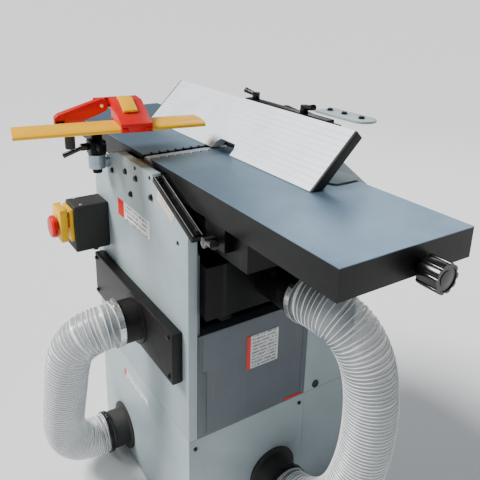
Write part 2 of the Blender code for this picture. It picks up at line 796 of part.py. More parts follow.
def build_hose(name, route, start_way, end_way):
    """A plain tube; its end rings are kept square to the spigots by a short straight lead."""
    first = Vector(route[0])
    last = Vector(route[-1])
    lead = first + Vector(start_way) * 0.016
    tail = last + Vector(end_way) * 0.016
    points = [first] + smooth_route([lead] + route[1:-1] + [tail], 46) + [last]
    curve = bpy.data.curves.new(name, "CURVE")
    curve.dimensions = "3D"
    curve.bevel_depth = HOSE_R
    curve.bevel_resolution = 4
    curve.use_fill_caps = True
    spline = curve.splines.new("POLY")
    spline.points.add(len(points) - 1)
    for spot, point in zip(spline.points, points):
        spot.co = (*point, 1.0)
    obj = bpy.data.objects.new(name, curve)
    PIECES.objects.link(obj)
    curve.materials.append(material_of(HOSE_CLEAR))
    return obj


def build_hose_clamp(name, centre, axis):
    """Band round the end of a hose, with its screw housing on top."""
    bm = bmesh.new()
    add_turned(bm, ring_profile(HOSE_R + 0.0010, HOSE_R + 0.0025, 0.0, 0.012), centre, axis, 40)
    clamp = piece(name, bm, STEEL, smooth=True)
    housing = bmesh.new()
    way = Vector(axis)
    side = Vector((0.0, 0.0, 1.0)).cross(way).normalized()
    middle = Vector(centre) + way * 0.006 + Vector((0.0, 0.0, HOSE_R + 0.0048))
    add_rod(housing, middle - side * 0.011, middle + side * 0.011, 0.0045, 16)
    join(clamp, housing)
    return clamp


# --- switch -------------------------------------------------------------------------------------
START_LEVEL = -0.1795
STOP_LEVEL = -0.2050


def build_push_button(name, across, level, finish):
    """A round button standing in its well in the switch plate."""
    bm = bmesh.new()
    add_rod(bm, (across, -0.2580, lv(level)), (across, -0.2510, lv(level)), 0.0108, 24)
    piece(name, bm, finish, (across, -0.2543, lv(level)), smooth=True)


def build_switch():
    """Switch box with two buttons, and a flap whose mushroom pushes the stop button."""
    across = -0.216
    bm = bmesh.new()
    add_box(bm, -0.250, -0.182, -0.2450, BASE_Y0 - GAP, lv(-0.270), lv(-0.154))
    box = piece("switch_box", bm, BLACK_PLASTIC)
    soften(box, 0.003)

    bm = bmesh.new()
    add_box(bm, -0.245, -0.187, -0.2540, -0.2453, lv(-0.241), lv(-0.161))
    plate = piece("switch_plate", bm, GUARD_YELLOW)
    soften(plate, 0.0015)
    wells = bmesh.new()
    for z in (START_LEVEL, STOP_LEVEL):
        add_rod(wells, (across, -0.260, lv(z)), (across, -0.2480, lv(z)), 0.0115, 24)
    cut(plate, wells)

    build_push_button("start_button", across, START_LEVEL, START_GREEN)
    build_push_button("stop_button", across, STOP_LEVEL, SIGNAL_RED)

    bm = bmesh.new()
    add_box(bm, -0.247, -0.185, -0.2780, -0.2600, lv(-0.2385), lv(-0.158))
    flap = piece("switch_flap", bm, GUARD_YELLOW, (across, -0.2590, lv(-0.161)))
    soften(flap, 0.0025)
    hollow = bmesh.new()
    add_box(hollow, -0.243, -0.189, -0.2740, -0.2500, lv(-0.250), lv(-0.162))
    cut(flap, hollow)
    hole = bmesh.new()
    add_rod(hole, (across, -0.285, lv(STOP_LEVEL)), (across, -0.265, lv(STOP_LEVEL)), 0.0103, 24)
    combine(flap, tool("flap_hole", hole), "DIFFERENCE")

    centre = (across, -0.2783, lv(STOP_LEVEL))
    bm = bmesh.new()
    profile = [
        (0.0, -0.0130), (0.0100, -0.0130), (0.0100, 0.0043), (0.0270, 0.0043),
        (0.0270, 0.0120), (0.0230, 0.0165), (0.0, 0.0185),
    ]
    add_turned(bm, profile, centre, (0.0, -1.0, 0.0), 36)
    piece("stop_mushroom", bm, SIGNAL_RED, centre, smooth=True)


# --- bridge guard -------------------------------------------------------------------------------
SOCKET_X = -0.168
SOCKET_Y = -0.187


def build_guard_mount():
    bm = bmesh.new()
    add_turned(bm, ring_profile(0.0105, 0.0195, 0.0, 0.032), (SOCKET_X, SOCKET_Y, lv(-0.060)), (0, 0, 1), 32)
    socket = piece("guard_socket", bm, ZINC, smooth=True)
    lug = bmesh.new()
    add_box(lug, SOCKET_X - 0.013, SOCKET_X + 0.013, -0.1720, BASE_Y0 - GAP, lv(-0.0590), lv(-0.0410))
    join(socket, lug)

    origin = (SOCKET_X, SOCKET_Y, lv(-0.028))
    bm = bmesh.new()
    add_box(bm, -0.186, -0.150, -0.205, -0.1690, lv(-0.0277), lv(0.0060))
    body = piece("guard_clamp", bm, BLACK_PAINT, origin)
    soften(body, 0.003)
    pin = bmesh.new()
    add_turned(pin, [(0.0, 0.0), (0.011, 0.0), (0.011, 0.0117), (0.0100, 0.0117),
                     (0.0100, 0.0480), (0.0, 0.0480)], (SOCKET_X, SOCKET_Y, lv(-0.0720)), (0, 0, 1), 24)
    join(body, pin)
    ear = bmesh.new()
    add_box(ear, -0.156, -0.126, -0.196, -0.178, lv(-0.0120), lv(0.0030))
    combine(body, tool("clamp_ear", ear), "UNION")

    centre = Vector((SOCKET_X, -0.2053, lv(-0.0080)))
    bm = bmesh.new()
    add_rod(bm, centre, centre + Vector((0.0, -0.018, 0.0)), 0.0085, 20)
    lever = piece("guard_clamp_lever", bm, BLACK_PLASTIC, centre, smooth=True)
    handle = bmesh.new()
    tip = centre + Vector((-0.006, -0.058, -0.016))
    add_rod(handle, centre + Vector((0.0, -0.010, 0.0)), tip, 0.0045, 16, 0.0062)
    join(lever, handle)


def build_guard_post():
    """Upright bar and the shelf that carries the arm's pivot."""
    bm = bmesh.new()
    add_box(bm, -0.176, -0.160, -0.199, -0.175, lv(0.0063), lv(0.0400))
    post = piece("guard_post", bm, BLACK_PAINT)
    shelf = bmesh.new()
    outline = [
        (-0.140, 0.004), (-0.060, 0.004), (-0.060, -0.124),
        (-0.086, -0.124), (-0.112, -0.100), (-0.140, -0.030),
    ]
    add_prism(shelf, outline, "xy", 0.036, 0.044)
    in_guard_frame(shelf)
    join(post, shelf)
    cheeks = bmesh.new()
    for across in (-0.0875, -0.0585):
        add_box(cheeks, across - 0.0015, across + 0.0015, -0.103, -0.085, 0.040, 0.067)
    add_box(cheeks, -0.0890, -0.0570, -0.104, -0.084, 0.0370, 0.0430)
    in_guard_frame(cheeks)
    combine(post, tool("arm_cheeks", cheeks), "UNION")

    bm = bmesh.new()
    add_turned(bm, [(0.0, 0.0), (0.0095, 0.0), (0.0110, 0.002), (0.0110, 0.029), (0.0085, 0.029),
                    (0.0085, 0.0317), (0.0, 0.0317)], (-0.072, -0.075, 0.004), (0, 0, 1), 24)
    in_guard_frame(bm)
    piece("guard_knob", bm, BLACK_PLASTIC, guard_point(-0.072, -0.075, 0.004), smooth=True)


ARM_PIVOT = (-0.094, 0.060)
HOLDER_PIVOT = (-0.005, 0.095)
ARM_END_R = 0.0145


def build_guard_arm():
    """Tapered arm with a round head about the holder's pivot."""
    along, height = HOLDER_PIVOT
    outline = [(-0.105, 0.0500), (-0.088, 0.0490), (-0.032, 0.0690)]
    for i in range(9):
        turn = math.radians(-70 + 165 * i / 8)
        outline.append((along + ARM_END_R * math.cos(turn), height + ARM_END_R * math.sin(turn)))
    outline.append((-0.096, 0.0810))
    outline.append((-0.105, 0.0740))
    bm = bmesh.new()
    add_prism(bm, outline, "yz", -0.0850, -0.0610)
    in_guard_frame(bm)
    arm = piece("guard_arm", bm, SIGNAL_RED, guard_point(-0.073, *ARM_PIVOT))
    soften(arm, 0.0020)
    return arm


def build_guard_holder():
    bm = bmesh.new()
    outline = [
        (-0.0915, 0.0860), (-0.0915, 0.1080), (-0.0400, 0.1080), (0.0400, 0.0790), (0.0500, 0.0760),
        (0.0500, 0.0590), (0.0425, 0.0590), (0.0425, 0.0706), (-0.0428, 0.0706), (-0.0428, 0.0590),
        (-0.0560, 0.0590), (-0.0600, 0.0860),
    ]
    add_prism(bm, outline, "xz", 0.0125, 0.0760)
    in_guard_frame(bm)
    holder = piece("guard_holder", bm, SIGNAL_RED, guard_point(-0.073, *HOLDER_PIVOT))
    cheek = bmesh.new()
    add_box(cheek, -0.0915, -0.0857, -0.0190, 0.0200, 0.0860, 0.1075)
    in_guard_frame(cheek)
    join(holder, cheek)
    return holder


def build_guard_bar():
    bm = bmesh.new()
    w = BAR_HALF_WIDTH
    outline = [
        (-w, BAR_TOP - BAR_THICK + 0.002), (-w + 0.002, BAR_TOP - BAR_THICK),
        (w - 0.002, BAR_TOP - BAR_THICK), (w, BAR_TOP - BAR_THICK + 0.002),
        (w, BAR_TOP - 0.006), (w - 0.010, BAR_TOP - 0.001), (0.0, BAR_TOP),
        (-w + 0.010, BAR_TOP - 0.001), (-w, BAR_TOP - 0.006),
    ]
    add_prism(bm, outline, "xz", -BAR_HALF_LENGTH, BAR_HALF_LENGTH)
    in_guard_frame(bm)
    return piece("guard_bar", bm, GUARD_YELLOW, guard_point(0.0, 0.0, BAR_TOP - BAR_THICK))


def build_guard_clip():
    bm = bmesh.new()
    outline = [
        (-0.0580, 0.1084), (-0.0580, 0.1140), (-0.0390, 0.1140), (0.0100, 0.0963),
        (0.0100, 0.0920), (0.0070, 0.0914), (-0.0395, 0.1084),
    ]
    add_prism(bm, outline, "xz", 0.0260, 0.0560)
    in_guard_frame(bm)
    clip = piece("guard_clip", bm, GUARD_YELLOW, guard_point(-0.0580, 0.0410, 0.1112))
    soften(clip, 0.0012)
    return clip


# --- fence --------------------------------------------------------------------------------------
def fence_corners():
    """The fence's cross-section: its face, its foot ground level, its back and its square top."""
    lean_y = math.cos(FENCE_LEAN)
    lean_z = math.sin(FENCE_LEAN)
    foot = FENCE_THICK / lean_z
    front_top = (FENCE_Y + FENCE_HEIGHT * lean_y, lv(FENCE_FOOT_Z) + FENCE_HEIGHT * lean_z)
    back_top = (front_top[0] + FENCE_THICK * lean_z, front_top[1] - FENCE_THICK * lean_y)
    return [
        (FENCE_Y, lv(FENCE_FOOT_Z)),
        (FENCE_Y + foot, lv(FENCE_FOOT_Z)),
        back_top,
        front_top,
    ]


def fence_spot(up_face, behind):
    """A (y, z) spot measured up the fence's face and back from it."""
    y = FENCE_Y + up_face * math.cos(FENCE_LEAN) + behind * math.sin(FENCE_LEAN)
    z = lv(FENCE_FOOT_Z) + up_face * math.sin(FENCE_LEAN) - behind * math.cos(FENCE_LEAN)
    return y, z


def build_fence():
    """Hollow-backed fence with a notch over the cutterblock, and its two end caps."""
    axis = (0.0, FENCE_Y, lv(FENCE_FOOT_Z))
    bm = bmesh.new()
    add_prism(bm, fence_corners(), "yz", FENCE_X0, FENCE_X1)
    fence = piece("fence_body", bm, ALUMINIUM, axis)
    for low, high in ((0.048, 0.058), (0.100, 0.110)):
        groove = bmesh.new()
        outline = [
            fence_spot(low, 0.008), fence_spot(high, 0.008), fence_spot(high, 0.025), fence_spot(low, 0.025),
        ]
        add_prism(groove, outline, "yz", FENCE_X0 - 0.01, FENCE_X1 + 0.01)
        cut(fence, groove)
    notch = bmesh.new()
    arch = [
        (0.002, lv(-0.01)), (0.074, lv(-0.01)), (0.074, lv(0.012)), (0.066, lv(0.020)), (0.010, lv(0.020)),
        (0.002, lv(0.012)),
    ]
    add_prism(notch, arch, "xz", 0.0, 0.075)
    cut(fence, notch)
    ends = (
        ("fence_cap_near", FENCE_X1 + GAP, FENCE_X1 + 0.005),
        ("fence_cap_far", FENCE_X0 - 0.005, FENCE_X0 - GAP),
    )
    for name, x0, x1 in ends:
        bm = bmesh.new()
        add_prism(bm, fence_corners(), "yz", x0, x1)
        piece(name, bm, BLACK_PLASTIC, axis)
    return fence


def build_fence_bracket():
    """Swivel plate bolted to the back of the fence."""
    axis = (0.0, FENCE_Y, lv(FENCE_FOOT_Z))
    bm = bmesh.new()
    outline = [
        fence_spot(0.042, 0.0203), fence_spot(0.118, 0.0203),
        fence_spot(0.118, 0.0263), fence_spot(0.042, 0.0263),
    ]
    add_prism(bm, outline, "yz", -0.060, 0.200)
    bracket = piece("fence_bracket", bm, BLACK_PAINT, axis)
    ribs = bmesh.new()
    rib = [
        fence_spot(0.060, 0.0255), fence_spot(0.116, 0.0255),
        fence_spot(0.116, 0.040), fence_spot(0.100, 0.052),
        fence_spot(0.080, 0.048),
    ]
    for x in (0.030, 0.110):
        add_prism(ribs, rib, "yz", x, x + 0.006)
    join(bracket, ribs)
    return bracket


def build_fence_carriage():
    """Cross slide behind the fence, with its foot plate and upright."""
    origin = (0.070, 0.215, lv(0.0300))
    bm = bmesh.new()
    add_box(bm, 0.040, 0.106, 0.132, 0.300, lv(0.0330), lv(0.0410))
    carriage = piece("fence_carriage", bm, BLACK_PAINT, origin)
    upright = bmesh.new()
    outline = [
        (0.146, lv(0.0400)), (0.262, lv(0.0400)), (0.262, lv(0.0550)),
        (0.190, lv(0.0860)), (0.156, lv(0.0860)),
        (0.146, lv(0.0760)),
    ]
    add_prism(upright, outline, "yz", 0.040, 0.048)
    add_prism(upright, outline, "yz", 0.098, 0.106)
    join(carriage, upright)
    beam = bmesh.new()
    add_box(beam, -0.070, 0.215, 0.152, 0.174, lv(0.0780), lv(0.0880))
    combine(carriage, tool("carriage_beam", beam), "UNION")
    arms = bmesh.new()
    for x in (-0.068, 0.201):
        add_prism(arms, [(0.057, lv(0.0033)), (0.166, lv(0.0033)), (0.166, lv(0.0800)), (0.154, lv(0.0800)),
                         (0.154, lv(0.0200)), (0.146, lv(0.0095)), (0.057, lv(0.0095))], "yz", x, x + 0.012)
    combine(carriage, tool("carriage_arms", arms), "UNION")
    return carriage


def build_fence_rail():
    """Guide block bolted to the sloping back of the casing; the cross slide runs over it."""
    slope = 0.0640 / (BASE_Y1 - 0.2060)
    clear = 0.0005
    near = 0.2300
    far = 0.2830
    outline = [
        (near, lv(-0.0040 - slope * (near - 0.2060)) + clear),
        (far, lv(-0.0040 - slope * (far - 0.2060)) + clear),
        (far, lv(0.0327)),
        (near, lv(0.0327)),
    ]
    bm = bmesh.new()
    add_prism(bm, outline, "yz", 0.052, 0.094)
    rail = piece("fence_rail", bm, STEEL)
    soften(rail, 0.002)
    return rail


def build_fence_plate():
    """Rounded grey plate on top of the cross slide."""
    points = [(0.150, 0.178), (0.255, 0.178)]
    for i in range(9):
        turn = math.radians(-90 + 180 * i / 8)
        points.append((0.262 + 0.026 * math.cos(turn), 0.204 + 0.026 * math.sin(turn)))
    points.append((0.150, 0.230))
    bm = bmesh.new()
    add_prism(bm, points, "xy", lv(0.0905), lv(0.0955))
    return piece("fence_top_plate", bm, LIGHT_GREY)


def build_fence_lever(name, start, tip, finish=BLACK_PLASTIC):
    start = Vector(start)
    tip = Vector(tip)
    bm = bmesh.new()
    add_rod(bm, start, start + Vector((0.0, 0.0, 0.016)), 0.009, 20)
    lever = piece(name, bm, finish, start, smooth=True)
    arm = bmesh.new()
    add_rod(arm, start + Vector((0.0, 0.0, 0.010)), tip, 0.0045, 16, 0.0065)
    join(lever, arm)
    return lever


def build_rear_guard():
    bm = bmesh.new()
    outline = [(-0.080, 0.064), (0.300, 0.064), (0.330, 0.084), (0.330, 0.143), (-0.080, 0.143)]
    add_prism(bm, outline, "xy", lv(0.0010), lv(0.0030))
    return piece("rear_guard", bm, LIGHT_GREY)


# --- plates -------------------------------------------------------------------------------------
def build_plates():
    bm = bmesh.new()
    add_box(bm, BASE_X1 + GAP, BASE_X1 + 0.0012, -0.0230, 0.0580, lv(-0.4270), lv(-0.3470))
    piece("rating_plate", bm, CREAM)


def build_all():
    build_base()
    build_door()
    build_front_casing()
    build_rear_casing()
    build_side_wall("front_side_wall", -0.1397, -0.1330)
    build_side_wall("rear_side_wall", 0.1330, 0.1417)
    build_end_panels()
    build_duct_cover()
    front_x, front_z = FRONT_PORT
    end_y, end_z = END_PORT
    build_base_port("base_port_front", (front_x, BASE_Y0 - GAP, lv(front_z)), (0.0, -1.0, 0.0))
    build_base_port("base_port_end", (BASE_X1 + GAP, end_y, lv(end_z)), (1.0, 0.0, 0.0))
    build_table("infeed_table", INFEED_LIP, INFEED_END)
    build_table("outfeed_table", OUTFEED_LIP, OUTFEED_END)
    build_infeed_carriage()
    build_slideway("slideway_front", -0.1640, -0.1402)
    build_height_knob()
    build_table_lock()
    build_cutterblock()
    build_feed_roller("infeed_roller", INFEED_ROLLER_X)
    build_feed_roller("outfeed_roller", OUTFEED_ROLLER_X)
    upper = (CUTTER_X, lv(CUTTER_Z), 0.0225)
    lower = (MOTOR_X, lv(MOTOR_Z), 0.044)
    build_loop("drive_belt", upper, lower, 0.004, 0.168, 0.187, RUBBER)
    front = (INFEED_ROLLER_X, lv(ROLLER_Z), 0.022)
    back = (OUTFEED_ROLLER_X, lv(ROLLER_Z), 0.022)
    build_loop("feed_chain", front, back, 0.004, 0.1963, 0.1997, STEEL)
    build_motor()
    build_motor_pulley()
    build_fingers()
    build_bed()
    build_bed_screw()
    build_screw_support()
    build_bed_crank()
    build_chip_hood()
    build_hose("hose_front", FRONT_HOSE, (0.0, -1.0, 0.0), (0.0, -1.0, 0.0))
    build_hose("hose_end", END_HOSE, (1.0, 0.0, 0.0), (1.0, 0.0, 0.0))
    build_hose_clamp("hose_clamp_front", (0.020, -0.2270, lv(-0.357)), (0.0, -1.0, 0.0))
    build_hose_clamp("hose_clamp_end", (0.3320, 0.025, lv(-0.205)), (1.0, 0.0, 0.0))
    build_switch()
    build_guard_mount()
    build_guard_post()
    build_guard_arm()
    build_guard_holder()
    build_guard_bar()
    build_guard_clip()
    build_fence()
    build_fence_bracket()
    build_fence_carriage()
    build_fence_rail()
    build_fence_plate()
    build_fence_lever("fence_tilt_lever", (0.135, 0.163, lv(0.0883)), (0.178, 0.150, lv(0.1080)))
    build_fence_lever("fence_slide_lever", (-0.040, 0.163, lv(0.0883)), (-0.072, 0.155, lv(0.1060)))
    build_rear_guard()
    build_plates()


build_all()
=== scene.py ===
"""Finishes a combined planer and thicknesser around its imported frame.

Metres, +Z up. X runs along the tables towards the infeed end and the operator stands at -Y. Heights
passed to Datum.level() are measured from the table surface.
"""

from __future__ import annotations

import json
import logging
import math
from collections.abc import Callable, Iterator, Sequence
from contextlib import contextmanager
from dataclasses import dataclass
from enum import Enum

import bpy
from mathutils import Matrix, Vector

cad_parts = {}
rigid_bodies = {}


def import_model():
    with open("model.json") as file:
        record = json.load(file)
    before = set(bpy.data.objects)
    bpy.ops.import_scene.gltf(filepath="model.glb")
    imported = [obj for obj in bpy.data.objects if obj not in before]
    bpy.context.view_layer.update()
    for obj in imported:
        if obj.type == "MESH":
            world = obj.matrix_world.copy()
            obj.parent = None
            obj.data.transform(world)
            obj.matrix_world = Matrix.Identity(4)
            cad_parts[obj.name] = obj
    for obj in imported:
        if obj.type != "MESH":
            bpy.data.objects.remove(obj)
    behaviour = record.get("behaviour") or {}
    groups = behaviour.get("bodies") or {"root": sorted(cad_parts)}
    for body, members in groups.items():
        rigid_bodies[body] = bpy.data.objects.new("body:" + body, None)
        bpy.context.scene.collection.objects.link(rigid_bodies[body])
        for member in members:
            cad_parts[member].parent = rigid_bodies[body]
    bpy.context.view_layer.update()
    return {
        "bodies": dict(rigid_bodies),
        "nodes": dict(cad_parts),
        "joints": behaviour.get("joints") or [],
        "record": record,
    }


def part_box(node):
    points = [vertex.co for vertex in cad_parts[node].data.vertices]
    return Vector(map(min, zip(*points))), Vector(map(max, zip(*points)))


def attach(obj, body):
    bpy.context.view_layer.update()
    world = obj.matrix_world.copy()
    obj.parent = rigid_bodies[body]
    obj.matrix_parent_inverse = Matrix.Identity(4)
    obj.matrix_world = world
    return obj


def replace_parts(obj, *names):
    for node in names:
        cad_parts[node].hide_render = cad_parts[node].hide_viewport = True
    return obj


LOG = logging.getLogger("planer")
Colour = tuple[float, float, float]
Point = tuple[float, float, float]
FaceTest = Callable[[Vector, Vector], bool]
Object = bpy.types.Object
Socket = bpy.types.NodeSocket
Nodes = dict[str, bpy.types.Object]
UPWARD: Point = (0.0, 0.0, 1.0)
FRONTWARD: Point = (0.0, -1.0, 0.0)  # towards the operator
ENDWARD: Point = (1.0, 0.0, 0.0)  # towards the infeed end


# --- where things are ---------------------------------------------------------------------------
@dataclass(frozen=True)
class Datum:
    """Reference levels and planes, read from the frame."""

    table: float
    front: float
    end: float
    fence_lean: float = math.radians(45.0)
    slide_slope: float = math.radians(23.5)
    guard_place: tuple[float, float] = (-0.042, -0.198)
    guard_turn: float = math.radians(-10.3)

    @classmethod
    def from_frame(cls) -> Datum:
        """Reads the table surface, the operator's side and the infeed end from the frame.

        Returns:
            The datum that every sub-assembly is placed from.
        """
        return cls(
            table=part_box("infeed_table")[1].z,
            front=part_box("front_casing")[0].y,
            end=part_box("base_cabinet")[1].x,
        )

    def level(self, height: float) -> float:
        """World height of a level measured from the table surface."""
        return self.table + height

    def guard_matrix(self) -> Matrix:
        """Places shapes drawn along the guard bar, which lies a little askew."""
        x, y = self.guard_place
        return Matrix.Translation((x, y, self.table)) @ Matrix.Rotation(self.guard_turn, 4, "Z")

    def on_slide(self, along: float, off: float, y: float) -> Vector:
        """A spot along the slope of the slideway, and off it.

        Args:
            along: Distance down the slope from its upper end.
            off: Distance square to the slope.
            y: Place across the machine.

        Returns:
            The spot in the machine's own frame.
        """
        c, s = math.cos(self.slide_slope), math.sin(self.slide_slope)
        return Vector((0.076 + along * c + off * s, y, self.level(-0.024) - along * s + off * c))

    def on_fence(self, x: float, up: float, behind: float) -> Vector:
        """A spot up the fence's face from its foot, and back from it.

        Args:
            x: Place along the fence.
            up: Distance up the face.
            behind: Distance back from the face.

        Returns:
            The spot in the machine's own frame.
        """
        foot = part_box("fence_body")[0]
        c, s = math.cos(self.fence_lean), math.sin(self.fence_lean)
        return Vector((x, foot.y + up * c + behind * s, foot.z + up * s - behind * c))


# --- modelling by hand --------------------------------------------------------------------------
class Bench:
    """Modelling steps that the sub-assemblies share."""

    @staticmethod
    def clear() -> None:
        """Leaves edit mode and drops the selection."""
        if bpy.context.mode != "OBJECT":
            bpy.ops.object.mode_set(mode="OBJECT")
        bpy.ops.object.select_all(action="DESELECT")

    @staticmethod
    def pick(obj: Object) -> None:
        """Makes one object the only selected and the active one."""
        Bench.clear()
        obj.select_set(True)
        bpy.context.view_layer.objects.active = obj

    @staticmethod
    def settle(obj: Object) -> Object:
        """Moves an object's place, turn and scale into its mesh.

        Args:
            obj: The finished or half-finished piece.

        Returns:
            The same object, now at the origin.
        """
        Bench.pick(obj)
        bpy.ops.object.transform_apply(location=True, rotation=True, scale=True)
        return obj

    @staticmethod
    def block(name: str, low: Point, high: Point) -> Object:
        """Starts a piece from a block between two corners.

        Args:
            name: Name of the piece.
            low: Lowest corner.
            high: Highest corner.

        Returns:
            The new object, settled at the origin.
        """
        Bench.clear()
        a, b = Vector(low), Vector(high)
        bpy.ops.mesh.primitive_cube_add(size=1.0, location=(a + b) / 2, scale=b - a)
        obj = bpy.context.active_object
        obj.name = obj.data.name = name
        return Bench.settle(obj)

    @staticmethod
    def barrel(name: str, start: Sequence[float], axis: Point, radius: float, length: float,
               sides: int) -> Object:
        """Starts a piece from a round bar.

        Args:
            name: Name of the piece.
            start: Middle of its first end.
            axis: The way it points.
            radius: Its radius.
            length: Its length.
            sides: Number of sides.

        Returns:
            The new object, settled at the origin.
        """
        Bench.clear()
        way = Vector(axis).normalized()
        turn = way.to_track_quat("Z", "Y").to_euler()
        bpy.ops.mesh.primitive_cylinder_add(
            vertices=sides, radius=radius, depth=length,
            location=Vector(start) + way * length / 2, rotation=turn,
        )
        obj = bpy.context.active_object
        obj.name = obj.data.name = name
        return Bench.settle(obj)

    @staticmethod
    @contextmanager
    def editing(obj: Object) -> Iterator[Object]:
        """Opens a piece in edit mode with faces as what is chosen."""
        Bench.pick(obj)
        bpy.context.tool_settings.mesh_select_mode = (False, False, True)
        bpy.ops.object.mode_set(mode="EDIT")
        try:
            yield obj
        finally:
            bpy.ops.object.mode_set(mode="OBJECT")

    @staticmethod
    def choose(obj: Object, test: FaceTest) -> int:
        """Selects faces by their place or normal, while in edit mode.

        Args:
            obj: The piece in edit mode.
            test: Takes a face's centre and normal, and says whether it is wanted.

        Returns:
            How many faces are now selected.
        """
        bpy.ops.object.mode_set(mode="OBJECT")
        mesh = obj.data
        mesh.vertices.foreach_set("select", [False] * len(mesh.vertices))
        mesh.edges.foreach_set("select", [False] * len(mesh.edges))
        wanted = [bool(test(face.center, face.normal)) for face in mesh.polygons]
        mesh.polygons.foreach_set("select", wanted)
        bpy.ops.object.mode_set(mode="EDIT")
        return sum(wanted)

    @staticmethod
    def push(shift: Sequence[float]) -> None:
        """Extrudes the selected faces by a shift."""
        bpy.ops.mesh.extrude_region_move(TRANSFORM_OT_translate={"value": tuple(shift)})

    @staticmethod
    def soften(obj: Object, width: float, segments: int = 2, angle: float = 35.0) -> None:
        """Rounds a piece's sharp edges and smooths its shading.

        Args:
            obj: The piece.
            width: Width of the rounding.
            segments: Steps across it.
            angle: Edges sharper than this many degrees are rounded.
        """
        Bench.pick(obj)
        step = obj.modifiers.new("rounding", "BEVEL")
        step.width = width
        step.segments = segments
        step.limit_method = "ANGLE"
        step.angle_limit = math.radians(angle)
        step.harden_normals = False
        bpy.ops.object.modifier_apply(modifier=step.name)
        bpy.ops.object.shade_smooth_by_angle(angle=math.radians(38))

    @staticmethod
    def carve(obj: Object, cutter: Object) -> None:
        """Cuts one piece with another, which is then thrown away.

        Args:
            obj: The piece that stays.
            cutter: The shape that is taken out of it.
        """
        Bench.pick(obj)
        step = obj.modifiers.new("cut", "BOOLEAN")
        step.operation = "DIFFERENCE"
        step.solver = "EXACT"
        step.use_self = True
        step.object = cutter
        bpy.ops.object.modifier_apply(modifier=step.name)
        bpy.data.objects.remove(cutter, do_unlink=True)

    @staticmethod
    def copy(obj: Object, name: str, place: Matrix) -> Object:
        """Copies a settled piece, with its own mesh, to another place.

        Args:
            obj: The piece to copy.
            name: Name of the copy.
            place: Where the copy goes.

        Returns:
            The copy, with its place in its mesh.
        """
        made = obj.copy()
        made.data = obj.data.copy()
        made.name = made.data.name = name
        bpy.context.scene.collection.objects.link(made)
        made.data.transform(place)
        return made

    @staticmethod
    def join(name: str, parts: Sequence[Object]) -> Object:
        """Makes several settled pieces one.

        Args:
            name: Name of the result.
            parts: The pieces, which become one object.

        Returns:
            The joined object.
        """
        Bench.clear()
        for part in parts:
            part.select_set(True)
        bpy.context.view_layer.objects.active = parts[0]
        if len(parts) > 1:
            bpy.ops.object.join()
        parts[0].name = parts[0].data.name = name
        return parts[0]

    @staticmethod
    def refined(node: Object, name: str) -> Object:
        """Copies a CAD node's shape as a merged mesh that can be worked further.

        Args:
            node: The CAD node.
            name: Name of the new piece.

        Returns:
            The new piece, which doesn't yet ride on anything.
        """
        made = bpy.data.objects.new(name, node.data.copy())
        made.data.name = name
        made.data.materials.clear()
        bpy.context.scene.collection.objects.link(made)
        with Bench.editing(made):
            bpy.ops.mesh.select_all(action="SELECT")
            bpy.ops.mesh.remove_doubles(threshold=0.00002)
            bpy.ops.mesh.dissolve_limited(angle_limit=math.radians(0.8))
        if made.data.has_custom_normals:
            Bench.pick(made)
            bpy.ops.mesh.customdata_custom_splitnormals_clear()
        return made


